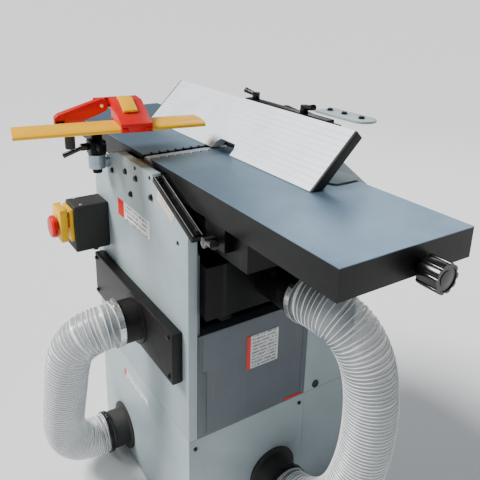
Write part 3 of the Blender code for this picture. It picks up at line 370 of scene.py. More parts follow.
# --- finishes -----------------------------------------------------------------------------------
class Graph:
    """A material's nodes, with short ways to add the ones the finishes use."""

    def __init__(self, name: str) -> None:
        """Starts a material with a plain Principled shader."""
        self.material = bpy.data.materials.new(name)
        self.material.use_nodes = True
        self.tree = self.material.node_tree
        self.shader = self.tree.nodes["Principled BSDF"]

    def add(self, kind: str, **settings: object) -> bpy.types.Node:
        """Adds a node and sets its properties."""
        node = self.tree.nodes.new(kind)
        for key, value in settings.items():
            setattr(node, key, value)
        return node

    def feed(self, socket: Socket, value: object) -> None:
        """Links a socket to another, or sets its value."""
        if isinstance(value, Socket):
            self.tree.links.new(value, socket)
        elif isinstance(value, tuple) and len(value) == 3 and len(socket.default_value) == 4:
            socket.default_value = (*value, 1.0)
        else:
            socket.default_value = value

    def put(self, name: str, value: object) -> None:
        """Feeds one of the shader's inputs."""
        self.feed(self.shader.inputs[name], value)

    def spot(self, scale: Point = (1.0, 1.0, 1.0), turn: Point = (0.0, 0.0, 0.0),
             shift: Point = (0.0, 0.0, 0.0)) -> Socket:
        """Object coordinates, stretched, turned and shifted."""
        place = self.add("ShaderNodeTexCoord")
        mapping = self.add("ShaderNodeMapping")
        mapping.inputs["Location"].default_value = shift
        mapping.inputs["Rotation"].default_value = turn
        mapping.inputs["Scale"].default_value = scale
        self.feed(mapping.inputs["Vector"], place.outputs["Object"])
        return mapping.outputs["Vector"]

    def noise(self, vector: Socket, scale: float, detail: float = 4.0,
              rough: float = 0.55) -> Socket:
        """A noise value from 0 to 1."""
        node = self.add("ShaderNodeTexNoise")
        self.feed(node.inputs["Vector"], vector)
        node.inputs["Scale"].default_value = scale
        node.inputs["Detail"].default_value = detail
        node.inputs["Roughness"].default_value = rough
        return node.outputs["Fac"]

    def cells(self, vector: Socket, scale: float) -> Socket:
        """Distance to the nearest of many scattered points."""
        node = self.add("ShaderNodeTexVoronoi")
        self.feed(node.inputs["Vector"], vector)
        node.inputs["Scale"].default_value = scale
        return node.outputs["Distance"]

    def ramp(self, value: Socket, low: float, high: float, to_low: float = 0.0,
             to_high: float = 1.0) -> Socket:
        """Stretches a value from one range to another, held at the ends."""
        node = self.add("ShaderNodeMapRange", clamp=True)
        self.feed(node.inputs["Value"], value)
        for key, number in (("From Min", low), ("From Max", high), ("To Min", to_low), ("To Max", to_high)):
            node.inputs[key].default_value = number
        return node.outputs["Result"]

    def sum(self, operation: str, first: object, second: object = 0.0) -> Socket:
        """One step of arithmetic on two values."""
        node = self.add("ShaderNodeMath", operation=operation)
        self.feed(node.inputs[0], first)
        self.feed(node.inputs[1], second)
        return node.outputs[0]

    def mix(self, share: object, first: object, second: object) -> Socket:
        """Mixes two colours by a share."""
        node = self.add("ShaderNodeMix", data_type="RGBA")
        self.feed(node.inputs[0], share)
        self.feed(node.inputs[6], first)
        self.feed(node.inputs[7], second)
        return node.outputs[2]

    def bump(self, height: Socket, depth: float, strength: float = 1.0,
             below: Socket | None = None) -> Socket:
        """Turns a height into a surface normal."""
        node = self.add("ShaderNodeBump")
        node.inputs["Strength"].default_value = strength
        node.inputs["Distance"].default_value = depth
        self.feed(node.inputs["Height"], height)
        if below is not None:
            self.feed(node.inputs["Normal"], below)
        return node.outputs["Normal"]

    def parts(self, vector: Socket) -> tuple[Socket, ...]:
        """The X, Y and Z of a vector."""
        node = self.add("ShaderNodeSeparateXYZ")
        self.feed(node.inputs[0], vector)
        return tuple(node.outputs)


@dataclass(frozen=True)
class Finish:
    """What every finish has: a name, a colour, a roughness and how metallic it is."""

    name: str
    colour: Colour
    rough: float
    metallic: float = 0.0
    gloss: float = 0.5

    def graph(self) -> Graph:
        """Starts the material with the finish's constant values."""
        graph = Graph(self.name)
        graph.shader.inputs["Metallic"].default_value = self.metallic
        graph.shader.inputs["Roughness"].default_value = self.rough
        graph.shader.inputs["Specular IOR Level"].default_value = self.gloss
        return graph

    def shade(self, by: float) -> Colour:
        """The colour made lighter or darker."""
        return tuple(min(1.0, part * by) for part in self.colour)

    def material(self) -> bpy.types.Material:
        """Makes the material."""
        raise NotImplementedError


@dataclass(frozen=True)
class CoatedSheet(Finish):
    """Powder-coated sheet steel: fine orange peel, and dust that gathers in soft patches."""

    peel: float = 0.00012
    dust: float = 0.10
    wear: float = 0.0

    def material(self) -> bpy.types.Material:
        """Makes the material."""
        graph = self.graph()
        patches = graph.noise(graph.spot(), 7.0, 6.0, 0.62)
        fine = graph.noise(graph.spot(), 420.0, 3.0, 0.6)
        tone = graph.mix(graph.ramp(patches, 0.35, 0.70), self.shade(1.0 - self.dust),
                         self.shade(1.0 + self.dust))
        speck = graph.ramp(graph.noise(graph.spot(), 1500.0, 2.0), 0.30, 0.75)
        tone = graph.mix(graph.sum("MULTIPLY", speck, 0.16), tone, self.shade(0.62))
        streaks = graph.ramp(graph.noise(graph.spot((60.0, 60.0, 3.0)), 1.0, 5.0), 0.56, 0.74)
        tone = graph.mix(graph.sum("MULTIPLY", streaks, 0.10), tone, (0.30, 0.27, 0.23))
        graph.put("Base Color", tone)
        graph.put("Roughness", graph.ramp(patches, 0.2, 0.8, self.rough - 0.07, self.rough + 0.09))
        graph.put("Normal", graph.bump(fine, self.peel, 0.8))
        return graph.material


@dataclass(frozen=True)
class GroundIron(Finish):
    """A planed and ground casting with painted skirts below its top face."""

    skirt: Colour = (0.0030, 0.0031, 0.0034)
    top: float = 0.85
    rim: float = 0.0012

    def material(self) -> bpy.types.Material:
        """Makes the material."""
        graph = self.graph()
        lines = graph.noise(graph.spot((3.0, 700.0, 30.0)), 1.0, 5.0, 0.6)
        swirl = graph.noise(graph.spot((900.0, 25.0, 25.0)), 1.0, 3.0, 0.6)
        stains = graph.noise(graph.spot(), 9.0, 6.0, 0.68)
        ground = graph.mix(graph.ramp(lines, 0.30, 0.70), self.shade(0.86), self.shade(1.10))
        ground = graph.mix(graph.ramp(stains, 0.50, 0.78, 0.0, 0.45), ground, self.shade(0.74))
        height = graph.parts(graph.spot())[2]
        ground_here = graph.ramp(height, self.top - self.rim - 0.0003, self.top - self.rim)
        peel = graph.noise(graph.spot(), 520.0, 3.0)
        painted = graph.mix(graph.ramp(peel, 0.3, 0.7), self.skirt, tuple(2.1 * part for part in self.skirt))
        graph.put("Base Color", graph.mix(ground_here, painted, ground))
        graph.put("Metallic", graph.ramp(ground_here, 0.0, 1.0, 0.0, self.metallic))
        rough = graph.ramp(stains, 0.25, 0.8, self.rough - 0.06, self.rough + 0.12)
        rough = graph.sum("ADD", rough, graph.ramp(lines, 0.2, 0.8, -0.03, 0.05))
        graph.put("Roughness", rough)
        low = graph.bump(lines, 0.00005, 0.7)
        graph.put("Normal", graph.bump(swirl, 0.00003, 0.5, low))
        return graph.material


@dataclass(frozen=True)
class DrawnMetal(Finish):
    """Metal with fine lines drawn along one axis."""

    along: Point = (3.0, 600.0, 600.0)
    depth: float = 0.00004
    tint: float = 0.12

    def material(self) -> bpy.types.Material:
        """Makes the material."""
        graph = self.graph()
        lines = graph.noise(graph.spot(self.along), 1.0, 5.0, 0.62)
        cloud = graph.noise(graph.spot(), 14.0, 5.0, 0.6)
        tone = graph.mix(graph.ramp(lines, 0.28, 0.72), self.shade(1.0 - self.tint),
                         self.shade(1.0 + self.tint))
        tone = graph.mix(graph.ramp(cloud, 0.52, 0.80, 0.0, 0.30), tone, self.shade(0.78))
        graph.put("Base Color", tone)
        graph.put("Roughness", graph.ramp(cloud, 0.25, 0.75, self.rough - 0.06, self.rough + 0.08))
        graph.put("Normal", graph.bump(lines, self.depth, 0.7))
        return graph.material


@dataclass(frozen=True)
class MouldedPlastic(Finish):
    """Moulded plastic: spark-eroded grain, rubbed brighter in places."""

    grain: float = 900.0
    depth: float = 0.00006
    scuff: Colour = (0.20, 0.20, 0.20)
    scuffed: float = 0.12

    def material(self) -> bpy.types.Material:
        """Makes the material."""
        graph = self.graph()
        fine = graph.noise(graph.spot(), self.grain, 3.0, 0.6)
        cloud = graph.noise(graph.spot(), 26.0, 5.0, 0.6)
        rub = graph.ramp(graph.noise(graph.spot((240.0, 240.0, 30.0)), 1.0, 4.0), 0.58, 0.74, 0.0,
                         self.scuffed)
        tone = graph.mix(graph.ramp(cloud, 0.3, 0.7), self.shade(0.88), self.shade(1.12))
        graph.put("Base Color", graph.mix(rub, tone, self.scuff))
        graph.put("Roughness", graph.ramp(cloud, 0.25, 0.75, self.rough - 0.07, self.rough + 0.08))
        graph.put("Normal", graph.bump(fine, self.depth, 0.8))
        return graph.material


@dataclass(frozen=True)
class GrainedCoat(Finish):
    """A thick hammered coating, pebbled like leather."""

    pebble: float = 190.0
    depth: float = 0.0005

    def material(self) -> bpy.types.Material:
        """Makes the material."""
        graph = self.graph()
        pebbles = graph.cells(graph.spot(), self.pebble)
        fine = graph.noise(graph.spot(), self.pebble * 2.6, 4.0, 0.65)
        cloud = graph.noise(graph.spot(), 11.0, 5.0, 0.6)
        tone = graph.mix(graph.ramp(fine, 0.32, 0.72), self.shade(0.65), self.shade(1.35))
        tone = graph.mix(graph.ramp(cloud, 0.45, 0.75, 0.0, 0.4), tone, self.shade(1.6))
        graph.put("Base Color", tone)
        graph.put("Roughness", graph.ramp(fine, 0.25, 0.75, self.rough - 0.08, self.rough + 0.10))
        low = graph.bump(pebbles, self.depth, 0.7)
        graph.put("Normal", graph.bump(fine, self.depth * 0.4, 0.7, low))
        return graph.material


@dataclass(frozen=True)
class ClearVinyl(Finish):
    """The clear wall of a suction hose, clouded by fine dust, with its white spiral rib.

    The mesh's own "rib" attribute says where the rib runs.
    """

    cover: float = 0.36
    rib: Colour = (0.90, 0.92, 0.92)

    def material(self) -> bpy.types.Material:
        """Makes the material."""
        graph = self.graph()
        cloud = graph.noise(graph.spot(), 28.0, 5.0, 0.65)
        chips = graph.ramp(graph.noise(graph.spot(), 260.0, 3.0), 0.60, 0.72)
        tone = graph.mix(graph.ramp(cloud, 0.3, 0.7), self.shade(0.86), self.shade(1.08))
        tone = graph.mix(graph.sum("MULTIPLY", chips, 0.30), tone, (0.62, 0.55, 0.44))
        mark = graph.add("ShaderNodeAttribute", attribute_name="rib")
        on_rib = graph.ramp(mark.outputs["Fac"], 0.42, 0.62)
        scuffs = graph.ramp(graph.noise(graph.spot(), 120.0, 4.0), 0.50, 0.75)
        rib = graph.mix(graph.sum("MULTIPLY", scuffs, 0.5), self.rib, (0.66, 0.66, 0.64))
        graph.put("Base Color", graph.mix(on_rib, tone, rib))
        wall = graph.ramp(cloud, 0.25, 0.75, self.cover - 0.08, self.cover + 0.10)
        graph.put("Alpha", graph.sum("MAXIMUM", wall, on_rib))
        graph.put("Roughness", graph.ramp(cloud, 0.3, 0.7, self.rough, self.rough + 0.12))
        return graph.material


@dataclass(frozen=True)
class PrintedPlate(Finish):
    """A plate printed with rows of made-up lines, and a coloured band at one end.

    The rows run along one axis and are stacked along Z.
    """

    across: int = 0
    start: float = 0.0
    length: float = 0.1
    rows: float = 160.0
    band: Colour = (0.70, 0.02, 0.015)
    band_share: float = 0.12
    ink: Colour = (0.05, 0.05, 0.055)

    def material(self) -> bpy.types.Material:
        """Makes the material."""
        graph = self.graph()
        spot = graph.parts(graph.spot())
        along = graph.ramp(spot[self.across], self.start, self.start + self.length)
        row = graph.sum("FRACT", graph.sum("MULTIPLY", spot[2], self.rows))
        in_row = graph.sum("LESS_THAN", graph.sum("ABSOLUTE", graph.sum("SUBTRACT", row, 0.5)), 0.22)
        stretch = [2.0, 2.0, self.rows]
        stretch[self.across] = 330.0
        words = graph.sum("GREATER_THAN", graph.noise(graph.spot(tuple(stretch)), 1.0, 2.0), 0.47)
        inside = graph.sum("MULTIPLY", graph.sum("GREATER_THAN", along, self.band_share + 0.05),
                           graph.sum("LESS_THAN", along, 0.94))
        ink = graph.sum("MULTIPLY", graph.sum("MULTIPLY", in_row, words), inside)
        haze = graph.ramp(graph.noise(graph.spot(), 60.0, 5.0), 0.35, 0.75)
        tone = graph.mix(haze, self.shade(0.93), self.shade(1.05))
        tone = graph.mix(graph.sum("MULTIPLY", ink, 0.85), tone, self.ink)
        tone = graph.mix(graph.sum("LESS_THAN", along, self.band_share), tone, self.band)
        graph.put("Base Color", tone)
        graph.put("Roughness", graph.ramp(haze, 0.0, 1.0, self.rough - 0.05, self.rough + 0.08))
        return graph.material


class Shop(Enum):
    """Every finish on the machine, with one darker grey that is painted shade."""

    LIGHT_GREY = CoatedSheet("light_grey_coat", (0.35, 0.43, 0.455), 0.42, gloss=0.35)
    # Painted shade: a darker copy of the light grey coat that stands in for the shade on the parts given it.
    SHADED_GREY = CoatedSheet("painted_shade_grey_coat", (0.115, 0.135, 0.155), 0.46, gloss=0.3)
    TABLE = GroundIron("ground_table", (0.15, 0.23, 0.31), 0.36, 0.70, gloss=0.2)
    BED = GroundIron("ground_bed", (0.20, 0.23, 0.26), 0.34, 0.8, top=0.56)
    ALUMINIUM = DrawnMetal("drawn_aluminium", (0.82, 0.90, 0.94), 0.40, 0.25, tint=0.05)
    STEEL = DrawnMetal("bright_steel", (0.62, 0.63, 0.65), 0.26, 1.0, along=(500.0, 6.0, 500.0))
    BAND_STEEL = DrawnMetal("band_steel", (0.72, 0.73, 0.75), 0.24, 1.0, along=(200.0, 200.0, 200.0))
    ZINC = DrawnMetal("zinc_plate", (0.34, 0.42, 0.48), 0.40, 0.8, along=(160.0, 160.0, 160.0), depth=0.00006,
                      tint=0.22)
    BLACK_PAINT = CoatedSheet("black_coat", (0.0034, 0.0035, 0.0038), 0.34, gloss=0.14, peel=0.00018,
                              dust=0.2)
    BLACK_PLASTIC = MouldedPlastic("black_plastic", (0.0050, 0.0050, 0.0054), 0.42, gloss=0.18,
                                   scuff=(0.09, 0.09, 0.09))
    COVER = GrainedCoat("grained_coat", (0.0085, 0.0083, 0.0080), 0.46, gloss=0.22)
    YELLOW = CoatedSheet("yellow_coat", (1.0, 0.50, 0.001), 0.34, gloss=0.30, peel=0.00006, dust=0.04)
    SWITCH_YELLOW = MouldedPlastic("yellow_plastic", (0.98, 0.52, 0.004), 0.33, gloss=0.35,
                                   scuff=(0.6, 0.40, 0.05))
    RED = MouldedPlastic("red_plastic", (0.66, 0.004, 0.003), 0.33, gloss=0.30, depth=0.00003,
                         scuff=(0.5, 0.04, 0.03))
    GREEN = MouldedPlastic("green_plastic", (0.01, 0.26, 0.05), 0.35, scuff=(0.1, 0.4, 0.15))
    RUBBER = MouldedPlastic("drive_rubber", (0.010, 0.010, 0.010), 0.75, gloss=0.2, grain=500.0, depth=0.0001)
    HOSE = ClearVinyl("clear_vinyl", (0.40, 0.44, 0.47), 0.18, cover=0.60)
    CREAM = MouldedPlastic("cream_plate", (0.62, 0.56, 0.47), 0.40, scuff=(0.4, 0.36, 0.30))
    GLOSS_BLACK = MouldedPlastic("gloss_black", (0.006, 0.006, 0.0065), 0.18, depth=0.00001,
                                 scuff=(0.06, 0.06, 0.06))
    BLACK_STEEL = DrawnMetal("black_oxide", (0.022, 0.023, 0.026), 0.34, 0.7, along=(300.0, 300.0, 300.0))
    DATA_PLATE = PrintedPlate("data_plate_print", (0.62, 0.64, 0.64), 0.40, across=1, start=-0.023,
                              length=0.081,
                              rows=125.0)
    CASING_LABEL = PrintedPlate("casing_label_print", (0.82, 0.83, 0.83), 0.34, start=-0.117, length=0.170,
                                rows=95.0, band_share=0.20)
    BASE_LABEL = PrintedPlate("base_label_print", (0.80, 0.80, 0.79), 0.36, start=-0.126, length=0.141,
                              rows=150.0, band_share=0.10)

    def material(self) -> bpy.types.Material:
        """The finish's material, made once."""
        found = bpy.data.materials.get(self.value.name)
        return found or self.value.material()


def coat(obj: Object, *finishes: Shop) -> Object:
    """Gives a piece its finish, or several in order.

    Args:
        obj: A new piece or a CAD node.
        finishes: One finish for each of its material slots.

    Returns:
        The same object.
    """
    obj.data.materials.clear()
    for finish in finishes:
        obj.data.materials.append(finish.material())
    return obj


def work_up(node: Object, name: str, finish: Shop, body: str, width: float, angle: float = 35.0,
            segments: int = 2, cutters: Sequence[Object] = ()) -> None:
    """Works a CAD node's shape up with rounded edges, and puts it in the node's place.

    Args:
        node: The CAD node it stands for.
        name: Name of the new piece.
        finish: Its finish.
        body: The body it moves with.
        width: Width of the rounding.
        angle: Edges sharper than this many degrees are rounded.
        segments: Steps across the rounding.
        cutters: Shapes taken out of it first.
    """
    made = Bench.refined(node, name)
    for cutter in cutters:
        Bench.carve(made, cutter)
    Bench.soften(made, width, segments, angle)
    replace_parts(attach(coat(made, finish), body), node.name)
    LOG.info("%s worked up", node.name)


# --- the room -----------------------------------------------------------------------------------
@dataclass
class Studio:
    """A pale floor, soft lights and the camera."""

    camera_place: Point = (1.03702, -0.60458, 1.18359)
    ahead: Point = (-0.81079, 0.49337, -0.31496)
    up: Point = (-0.27434, 0.15501, 0.94906)
    lens: float = 42.54
    shift: tuple[float, float] = (0.0534, -0.1322)
    floor_side: float = 900.0
    room: float = 0.26
    key_power: float = 5.6
    key_way: Point = (0.36, 0.58, -0.73)

    def place_camera(self) -> None:
        """Sets up the camera."""
        data = bpy.data.cameras.new("camera")
        data.lens = self.lens
        data.shift_x, data.shift_y = self.shift
        data.clip_start, data.clip_end = 0.02, 2000.0
        camera = bpy.data.objects.new("camera", data)
        back, up = -Vector(self.ahead), Vector(self.up)
        right = up.cross(back)
        turn = Matrix((right, up, back)).transposed().to_4x4()
        camera.matrix_world = Matrix.Translation(self.camera_place) @ turn
        bpy.context.scene.collection.objects.link(camera)
        bpy.context.scene.camera = camera

    def place_light(self, name: str, place: Point, aim: Point, side: float, power: float,
                    colour: Colour) -> None:
        """Adds one soft panel of light.

        Args:
            name: Name of the light.
            place: Where it hangs.
            aim: The spot it faces.
            side: Its side length.
            power: Its power in watts.
            colour: Its colour.
        """
        data = bpy.data.lights.new(name, "AREA")
        data.shape = "SQUARE"
        data.size = side
        data.energy = power
        data.color = colour
        lamp = bpy.data.objects.new(name, data)
        way = Vector(aim) - Vector(place)
        lamp.matrix_world = Matrix.Translation(place) @ way.to_track_quat("-Z", "Y").to_matrix().to_4x4()
        bpy.context.scene.collection.objects.link(lamp)

    def place_key(self) -> None:
        """Adds the wide, soft main light from the operator's left."""
        data = bpy.data.lights.new("key", "SUN")
        data.energy = self.key_power
        data.angle = math.radians(22.0)
        data.color = (1.0, 0.985, 0.96)
        lamp = bpy.data.objects.new("key", data)
        lamp.matrix_world = Vector(self.key_way).to_track_quat("-Z", "Y").to_matrix().to_4x4()
        bpy.context.scene.collection.objects.link(lamp)

    def build(self) -> None:
        """Makes the floor, the lights, the backdrop tone and the camera."""
        self.place_camera()
        Bench.clear()
        bpy.ops.mesh.primitive_plane_add(size=self.floor_side, location=(0.0, 0.0, -0.0005))
        floor = Bench.settle(bpy.context.active_object)
        floor.name = "floor"
        graph = Graph("floor_paint")
        graph.put("Base Color", (0.86, 0.87, 0.88))
        graph.shader.inputs["Roughness"].default_value = 0.9
        floor.data.materials.append(graph.material)
        self.place_key()
        self.place_light("back", (-1.6, 2.4, 2.7), (0.0, 0.0, 0.8), 1.8, 34.0, (0.94, 0.97, 1.0))
        world = bpy.data.worlds.new("room")
        world.use_nodes = True
        backdrop = world.node_tree.nodes["Background"]
        backdrop.inputs["Color"].default_value = (0.90, 0.93, 0.97, 1.0)
        backdrop.inputs["Strength"].default_value = self.room
        bpy.context.scene.world = world


# --- fasteners ----------------------------------------------------------------------------------
class Head(Enum):
    """Kinds of screw head."""

    HEX = "hex"
    PAN = "pan"
    SOCKET = "socket"


class Fasteners:
    """Screw heads: each kind is modelled once and copied to every place it holds."""

    def __init__(self) -> None:
        """Starts with no pattern made."""
        self.patterns: dict[Head, Object] = {}
        self.count = 0

    def hex_head(self) -> Object:
        """Models a flanged hexagon head with a dished top.

        Returns:
            The head, standing up from the origin.
        """
        washer = Bench.barrel("flange", (0.0, 0.0, -0.0004), UPWARD, 0.0074, 0.0016, 28)
        Bench.soften(washer, 0.0004)
        body = Bench.barrel("hexagon", (0.0, 0.0, 0.0004), UPWARD, 0.0057, 0.0044, 6)
        with Bench.editing(body):
            Bench.choose(body, lambda _, normal: normal.z > 0.9)
            bpy.ops.mesh.inset(thickness=0.0010)
            Bench.push((0.0, 0.0, -0.0006))
        Bench.soften(body, 0.0004)
        return Bench.join("hex_pattern", [body, washer])

    def pan_head(self) -> Object:
        """Models a domed head with a cross recess.

        Returns:
            The head, standing up from the origin.
        """
        body = Bench.barrel("pan", (0.0, 0.0, -0.0004), UPWARD, 0.0046, 0.0026, 32)
        with Bench.editing(body):
            Bench.choose(body, lambda _, normal: normal.z > 0.9)
            bpy.ops.mesh.inset(thickness=0.0014)
            bpy.ops.transform.translate(value=(0.0, 0.0, 0.0006))
        Bench.soften(body, 0.0004)
        for turn in (0.0, 90.0):
            slot = Bench.block("recess", (-0.0020, -0.0004, 0.0016), (0.0020, 0.0004, 0.0050))
            slot.rotation_euler.z = math.radians(turn)
            Bench.carve(body, Bench.settle(slot))
        body.name = body.data.name = "pan_pattern"
        return body

    def socket_head(self) -> Object:
        """Models a cap head with a hexagon socket.

        Returns:
            The head, standing up from the origin.
        """
        body = Bench.barrel("cap", (0.0, 0.0, -0.0004), UPWARD, 0.0050, 0.0054, 32)
        Bench.soften(body, 0.0005)
        socket = Bench.barrel("socket", (0.0, 0.0, 0.0024), UPWARD, 0.0028, 0.0060, 6)
        Bench.carve(body, socket)
        body.name = body.data.name = "socket_pattern"
        return body

    def fit(self, name: str, head: Head, at: Sequence[float], way: Point, body: str,
            finish: Shop = Shop.BLACK_STEEL, size: float = 1.0) -> Object:
        """Puts one screw in its place.

        Args:
            name: What the screw holds.
            head: Kind of head.
            at: The spot on the surface under the head.
            way: The way the head stands out.
            body: The body it moves with.
            finish: Its finish.
            size: Its size against the pattern's.

        Returns:
            The screw.
        """
        if head not in self.patterns:
            made = {Head.HEX: self.hex_head, Head.PAN: self.pan_head, Head.SOCKET: self.socket_head}
            self.patterns[head] = made[head]()
        turn = Vector(way).to_track_quat("Z", "Y").to_matrix().to_4x4()
        place = Matrix.Translation(Vector(at)) @ turn @ Matrix.Scale(size, 4)
        self.count += 1
        screw = Bench.copy(self.patterns[head], f"{name}_{self.count}", place)
        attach(coat(screw, finish), body)
        return screw

    def put_away(self) -> None:
        """Removes the patterns once every screw is in its place."""
        for pattern in self.patterns.values():
            bpy.data.objects.remove(pattern, do_unlink=True)
        self.patterns.clear()
        LOG.info("%d screws fitted", self.count)


# --- hoses --------------------------------------------------------------------------------------
@dataclass
class SuctionHose:
    """A clear hose with a hard spiral rib, held at both ends on a spigot."""

    name: str
    route: Sequence[Point]
    way: Point
    clamps: Sequence[str]
    radius: float = 0.0483
    rib_height: float = 0.0013
    sag: float = 0.0010
    pitch: float = 0.0076
    steps_per_turn: int = 12
    rib_share: float = 0.34
    sides: int = 36
    lead: float = 0.016
    knots: int = 46

    def centreline(self) -> list[Vector]:
        """The route's points, read evenly from a smooth curve with a straight lead at each end.

        Returns:
            The same points that the CAD hose follows.
        """
        first, last = Vector(self.route[0]), Vector(self.route[-1])
        step = Vector(self.way) * self.lead
        knots = [first + step, *map(Vector, self.route[1:-1]), last + step]
        ends = [2 * knots[0] - knots[1], *knots, 2 * knots[-1] - knots[-2]]
        spans = len(knots) - 1
        line = []
        for i in range(self.knots):
            where = spans * i / (self.knots - 1)
            k = min(int(where), spans - 1)
            t = where - k
            a, b, c, d = ends[k:k + 4]
            line.append(0.5 * (2 * b + (c - a) * t + (2 * a - 5 * b + 4 * c - d) * t * t
                               + (3 * b - a - 3 * c + d) * t ** 3))
        return [first, *line, last]

    @staticmethod
    def even(line: Sequence[Vector], step: float) -> tuple[list[Vector], float]:
        """Reads a line again at even steps.

        Args:
            line: The line's points.
            step: Distance between the new ones.

        Returns:
            The new points and the line's length.
        """
        lengths = [0.0]
        for a, b in zip(line, line[1:]):
            lengths.append(lengths[-1] + (b - a).length)
        total = lengths[-1]
        count = max(2, round(total / step))
        points, k = [], 0
        for i in range(count + 1):
            want = total * i / count
            while k < len(lengths) - 2 and lengths[k + 1] < want:
                k += 1
            share = (want - lengths[k]) / (lengths[k + 1] - lengths[k])
            points.append(line[k].lerp(line[k + 1], min(1.0, max(0.0, share))))
        return points, total

    def build(self) -> Object:
        """Returns:
            The hose.
        """
        line, length = self.even(self.centreline(), self.pitch / self.steps_per_turn)
        smooth = [line[0], *[(a + 2 * b + c) / 4 for a, b, c in zip(line, line[1:], line[2:])], line[-1]]
        points, faces, ribs = [], [], []
        side = Vector(UPWARD)
        for i, centre in enumerate(smooth):
            ahead = smooth[min(i + 1, len(smooth) - 1)] - smooth[max(i - 1, 0)]
            ahead.normalize()
            side = (side - ahead * side.dot(ahead)).normalized()
            other = ahead.cross(side)
            along = length * i / (len(smooth) - 1)
            for j in range(self.sides):
                turn = math.tau * j / self.sides
                phase = (along / self.pitch - j / self.sides) % 1.0
                near = abs(phase - 0.5) * 2.0
                swell = max(0.0, math.cos(min(1.0, (1.0 - near) / self.rib_share) * math.pi / 2))
                ribs.append(swell)
                radius = self.radius + self.rib_height * swell - self.sag * math.sin(phase * math.pi)
                points.append(centre + (side * math.cos(turn) + other * math.sin(turn)) * radius)
        for i in range(len(smooth) - 1):
            for j in range(self.sides):
                k = (j + 1) % self.sides
                a, b = i * self.sides, (i + 1) * self.sides
                faces.append((a + j, a + k, b + k, b + j))
        mesh = bpy.data.meshes.new(self.name)
        mesh.from_pydata(points, [], faces)
        mesh.polygons.foreach_set("use_smooth", [True] * len(faces))
        hose = bpy.data.objects.new("ribbed_" + self.name, mesh)
        bpy.context.scene.collection.objects.link(hose)
        mark = mesh.attributes.new("rib", "FLOAT", "POINT")
        mark.data.foreach_set("value", ribs)
        coat(hose, Shop.HOSE)
        mesh.update()
        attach(hose, "frame")
        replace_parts(hose, self.name)
        LOG.info("%s: %.3f m long", self.name, length)
        return hose


@dataclass
class Ducting:
    """The two hoses, their lower clamps, and the spigots they join; the cover they also join is made with the
    casework.
    """

    datum: Datum
    band_radius: float = 0.0507
    band_width: float = 0.0115

    def front_route(self) -> list[Point]:
        """Route of the hose on the operator's side."""
        lv = self.datum.level
        return [
            (0.020, -0.2253, lv(-0.357)), (0.016, -0.262, lv(-0.360)), (0.004, -0.296, lv(-0.375)),
            (-0.014, -0.321, lv(-0.410)), (-0.030, -0.331, lv(-0.465)), (-0.046, -0.334, lv(-0.525)),
            (-0.065, -0.336, lv(-0.588)), (-0.088, -0.334, lv(-0.650)), (-0.112, -0.322, lv(-0.710)),
            (-0.129, -0.292, lv(-0.757)), (-0.138, -0.250, lv(-0.777)), (-0.140, -0.2053, lv(-0.780)),
        ]

    def end_route(self) -> list[Point]:
        """Route of the hose on the infeed end."""
        lv = self.datum.level
        return [
            (0.3303, 0.025, lv(-0.205)), (0.366, 0.029, lv(-0.206)), (0.402, 0.039, lv(-0.214)),
            (0.432, 0.053, lv(-0.238)), (0.452, 0.068, lv(-0.282)), (0.461, 0.078, lv(-0.338)),
            (0.463, 0.083, lv(-0.400)), (0.460, 0.084, lv(-0.470)), (0.450, 0.082, lv(-0.540)),
            (0.430, 0.077, lv(-0.610)), (0.396, 0.071, lv(-0.668)), (0.350, 0.065, lv(-0.710)),
            (0.304, 0.061, lv(-0.731)), (0.2623, 0.060, lv(-0.735)),
        ]

    def build_band(self, name: str, start: Point, way: Point, finish: Shop) -> Object:
        """Makes a worm-drive clamp: its band, its screw housing and the screw's head.

        Args:
            name: Name of the clamp.
            start: Middle of the band's first edge.
            way: The way that the hose leaves.
            finish: Finish of the band.

        Returns:
            The clamp.
        """
        axis = Vector(way)
        band = Bench.barrel(name, start, way, self.band_radius + 0.0014, self.band_width, 56)
        Bench.carve(band, Bench.barrel("bore", Vector(start) - axis * 0.004, way, self.band_radius,
                                       self.band_width + 0.008, 56))
        Bench.soften(band, 0.0003)
        side = Vector(UPWARD).cross(axis).normalized()
        top = Vector(start) + axis * self.band_width / 2 + Vector((0.0, 0.0, self.band_radius + 0.0046))
        housing = Bench.barrel("housing", top - side * 0.0090, tuple(side), 0.0042, 0.0180, 20)
        Bench.soften(housing, 0.0006)
        screw = Bench.barrel("screw", top + side * 0.0085, tuple(side), 0.0036, 0.0060, 6)
        Bench.soften(screw, 0.0004)
        made = Bench.join(name, [band, housing, screw])
        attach(coat(made, finish), "frame")
        LOG.info("%s made", name)
        return made

    def build_clamps(self, nodes: Nodes) -> None:
        """Makes the clamps at the lower ends of both hoses and rounds the spigots."""
        lv = self.datum.level
        self.build_band("lower_clamp_front", (-0.140, -0.2075, lv(-0.780)), FRONTWARD, Shop.BLACK_STEEL)
        self.build_band("lower_clamp_end", (0.2645, 0.060, lv(-0.735)), ENDWARD, Shop.BLACK_STEEL)
        for name in ("base_port_front", "base_port_end"):
            work_up(nodes[name], "moulded_" + name, Shop.BLACK_PLASTIC, "frame", 0.0006, angle=50.0)

    def build_hoses(self) -> None:
        """Makes both hoses."""
        SuctionHose("hose_front", self.front_route(), FRONTWARD, ["hose_clamp_front"]).build()
        SuctionHose("hose_end", self.end_route(), ENDWARD, ["hose_clamp_end"]).build()


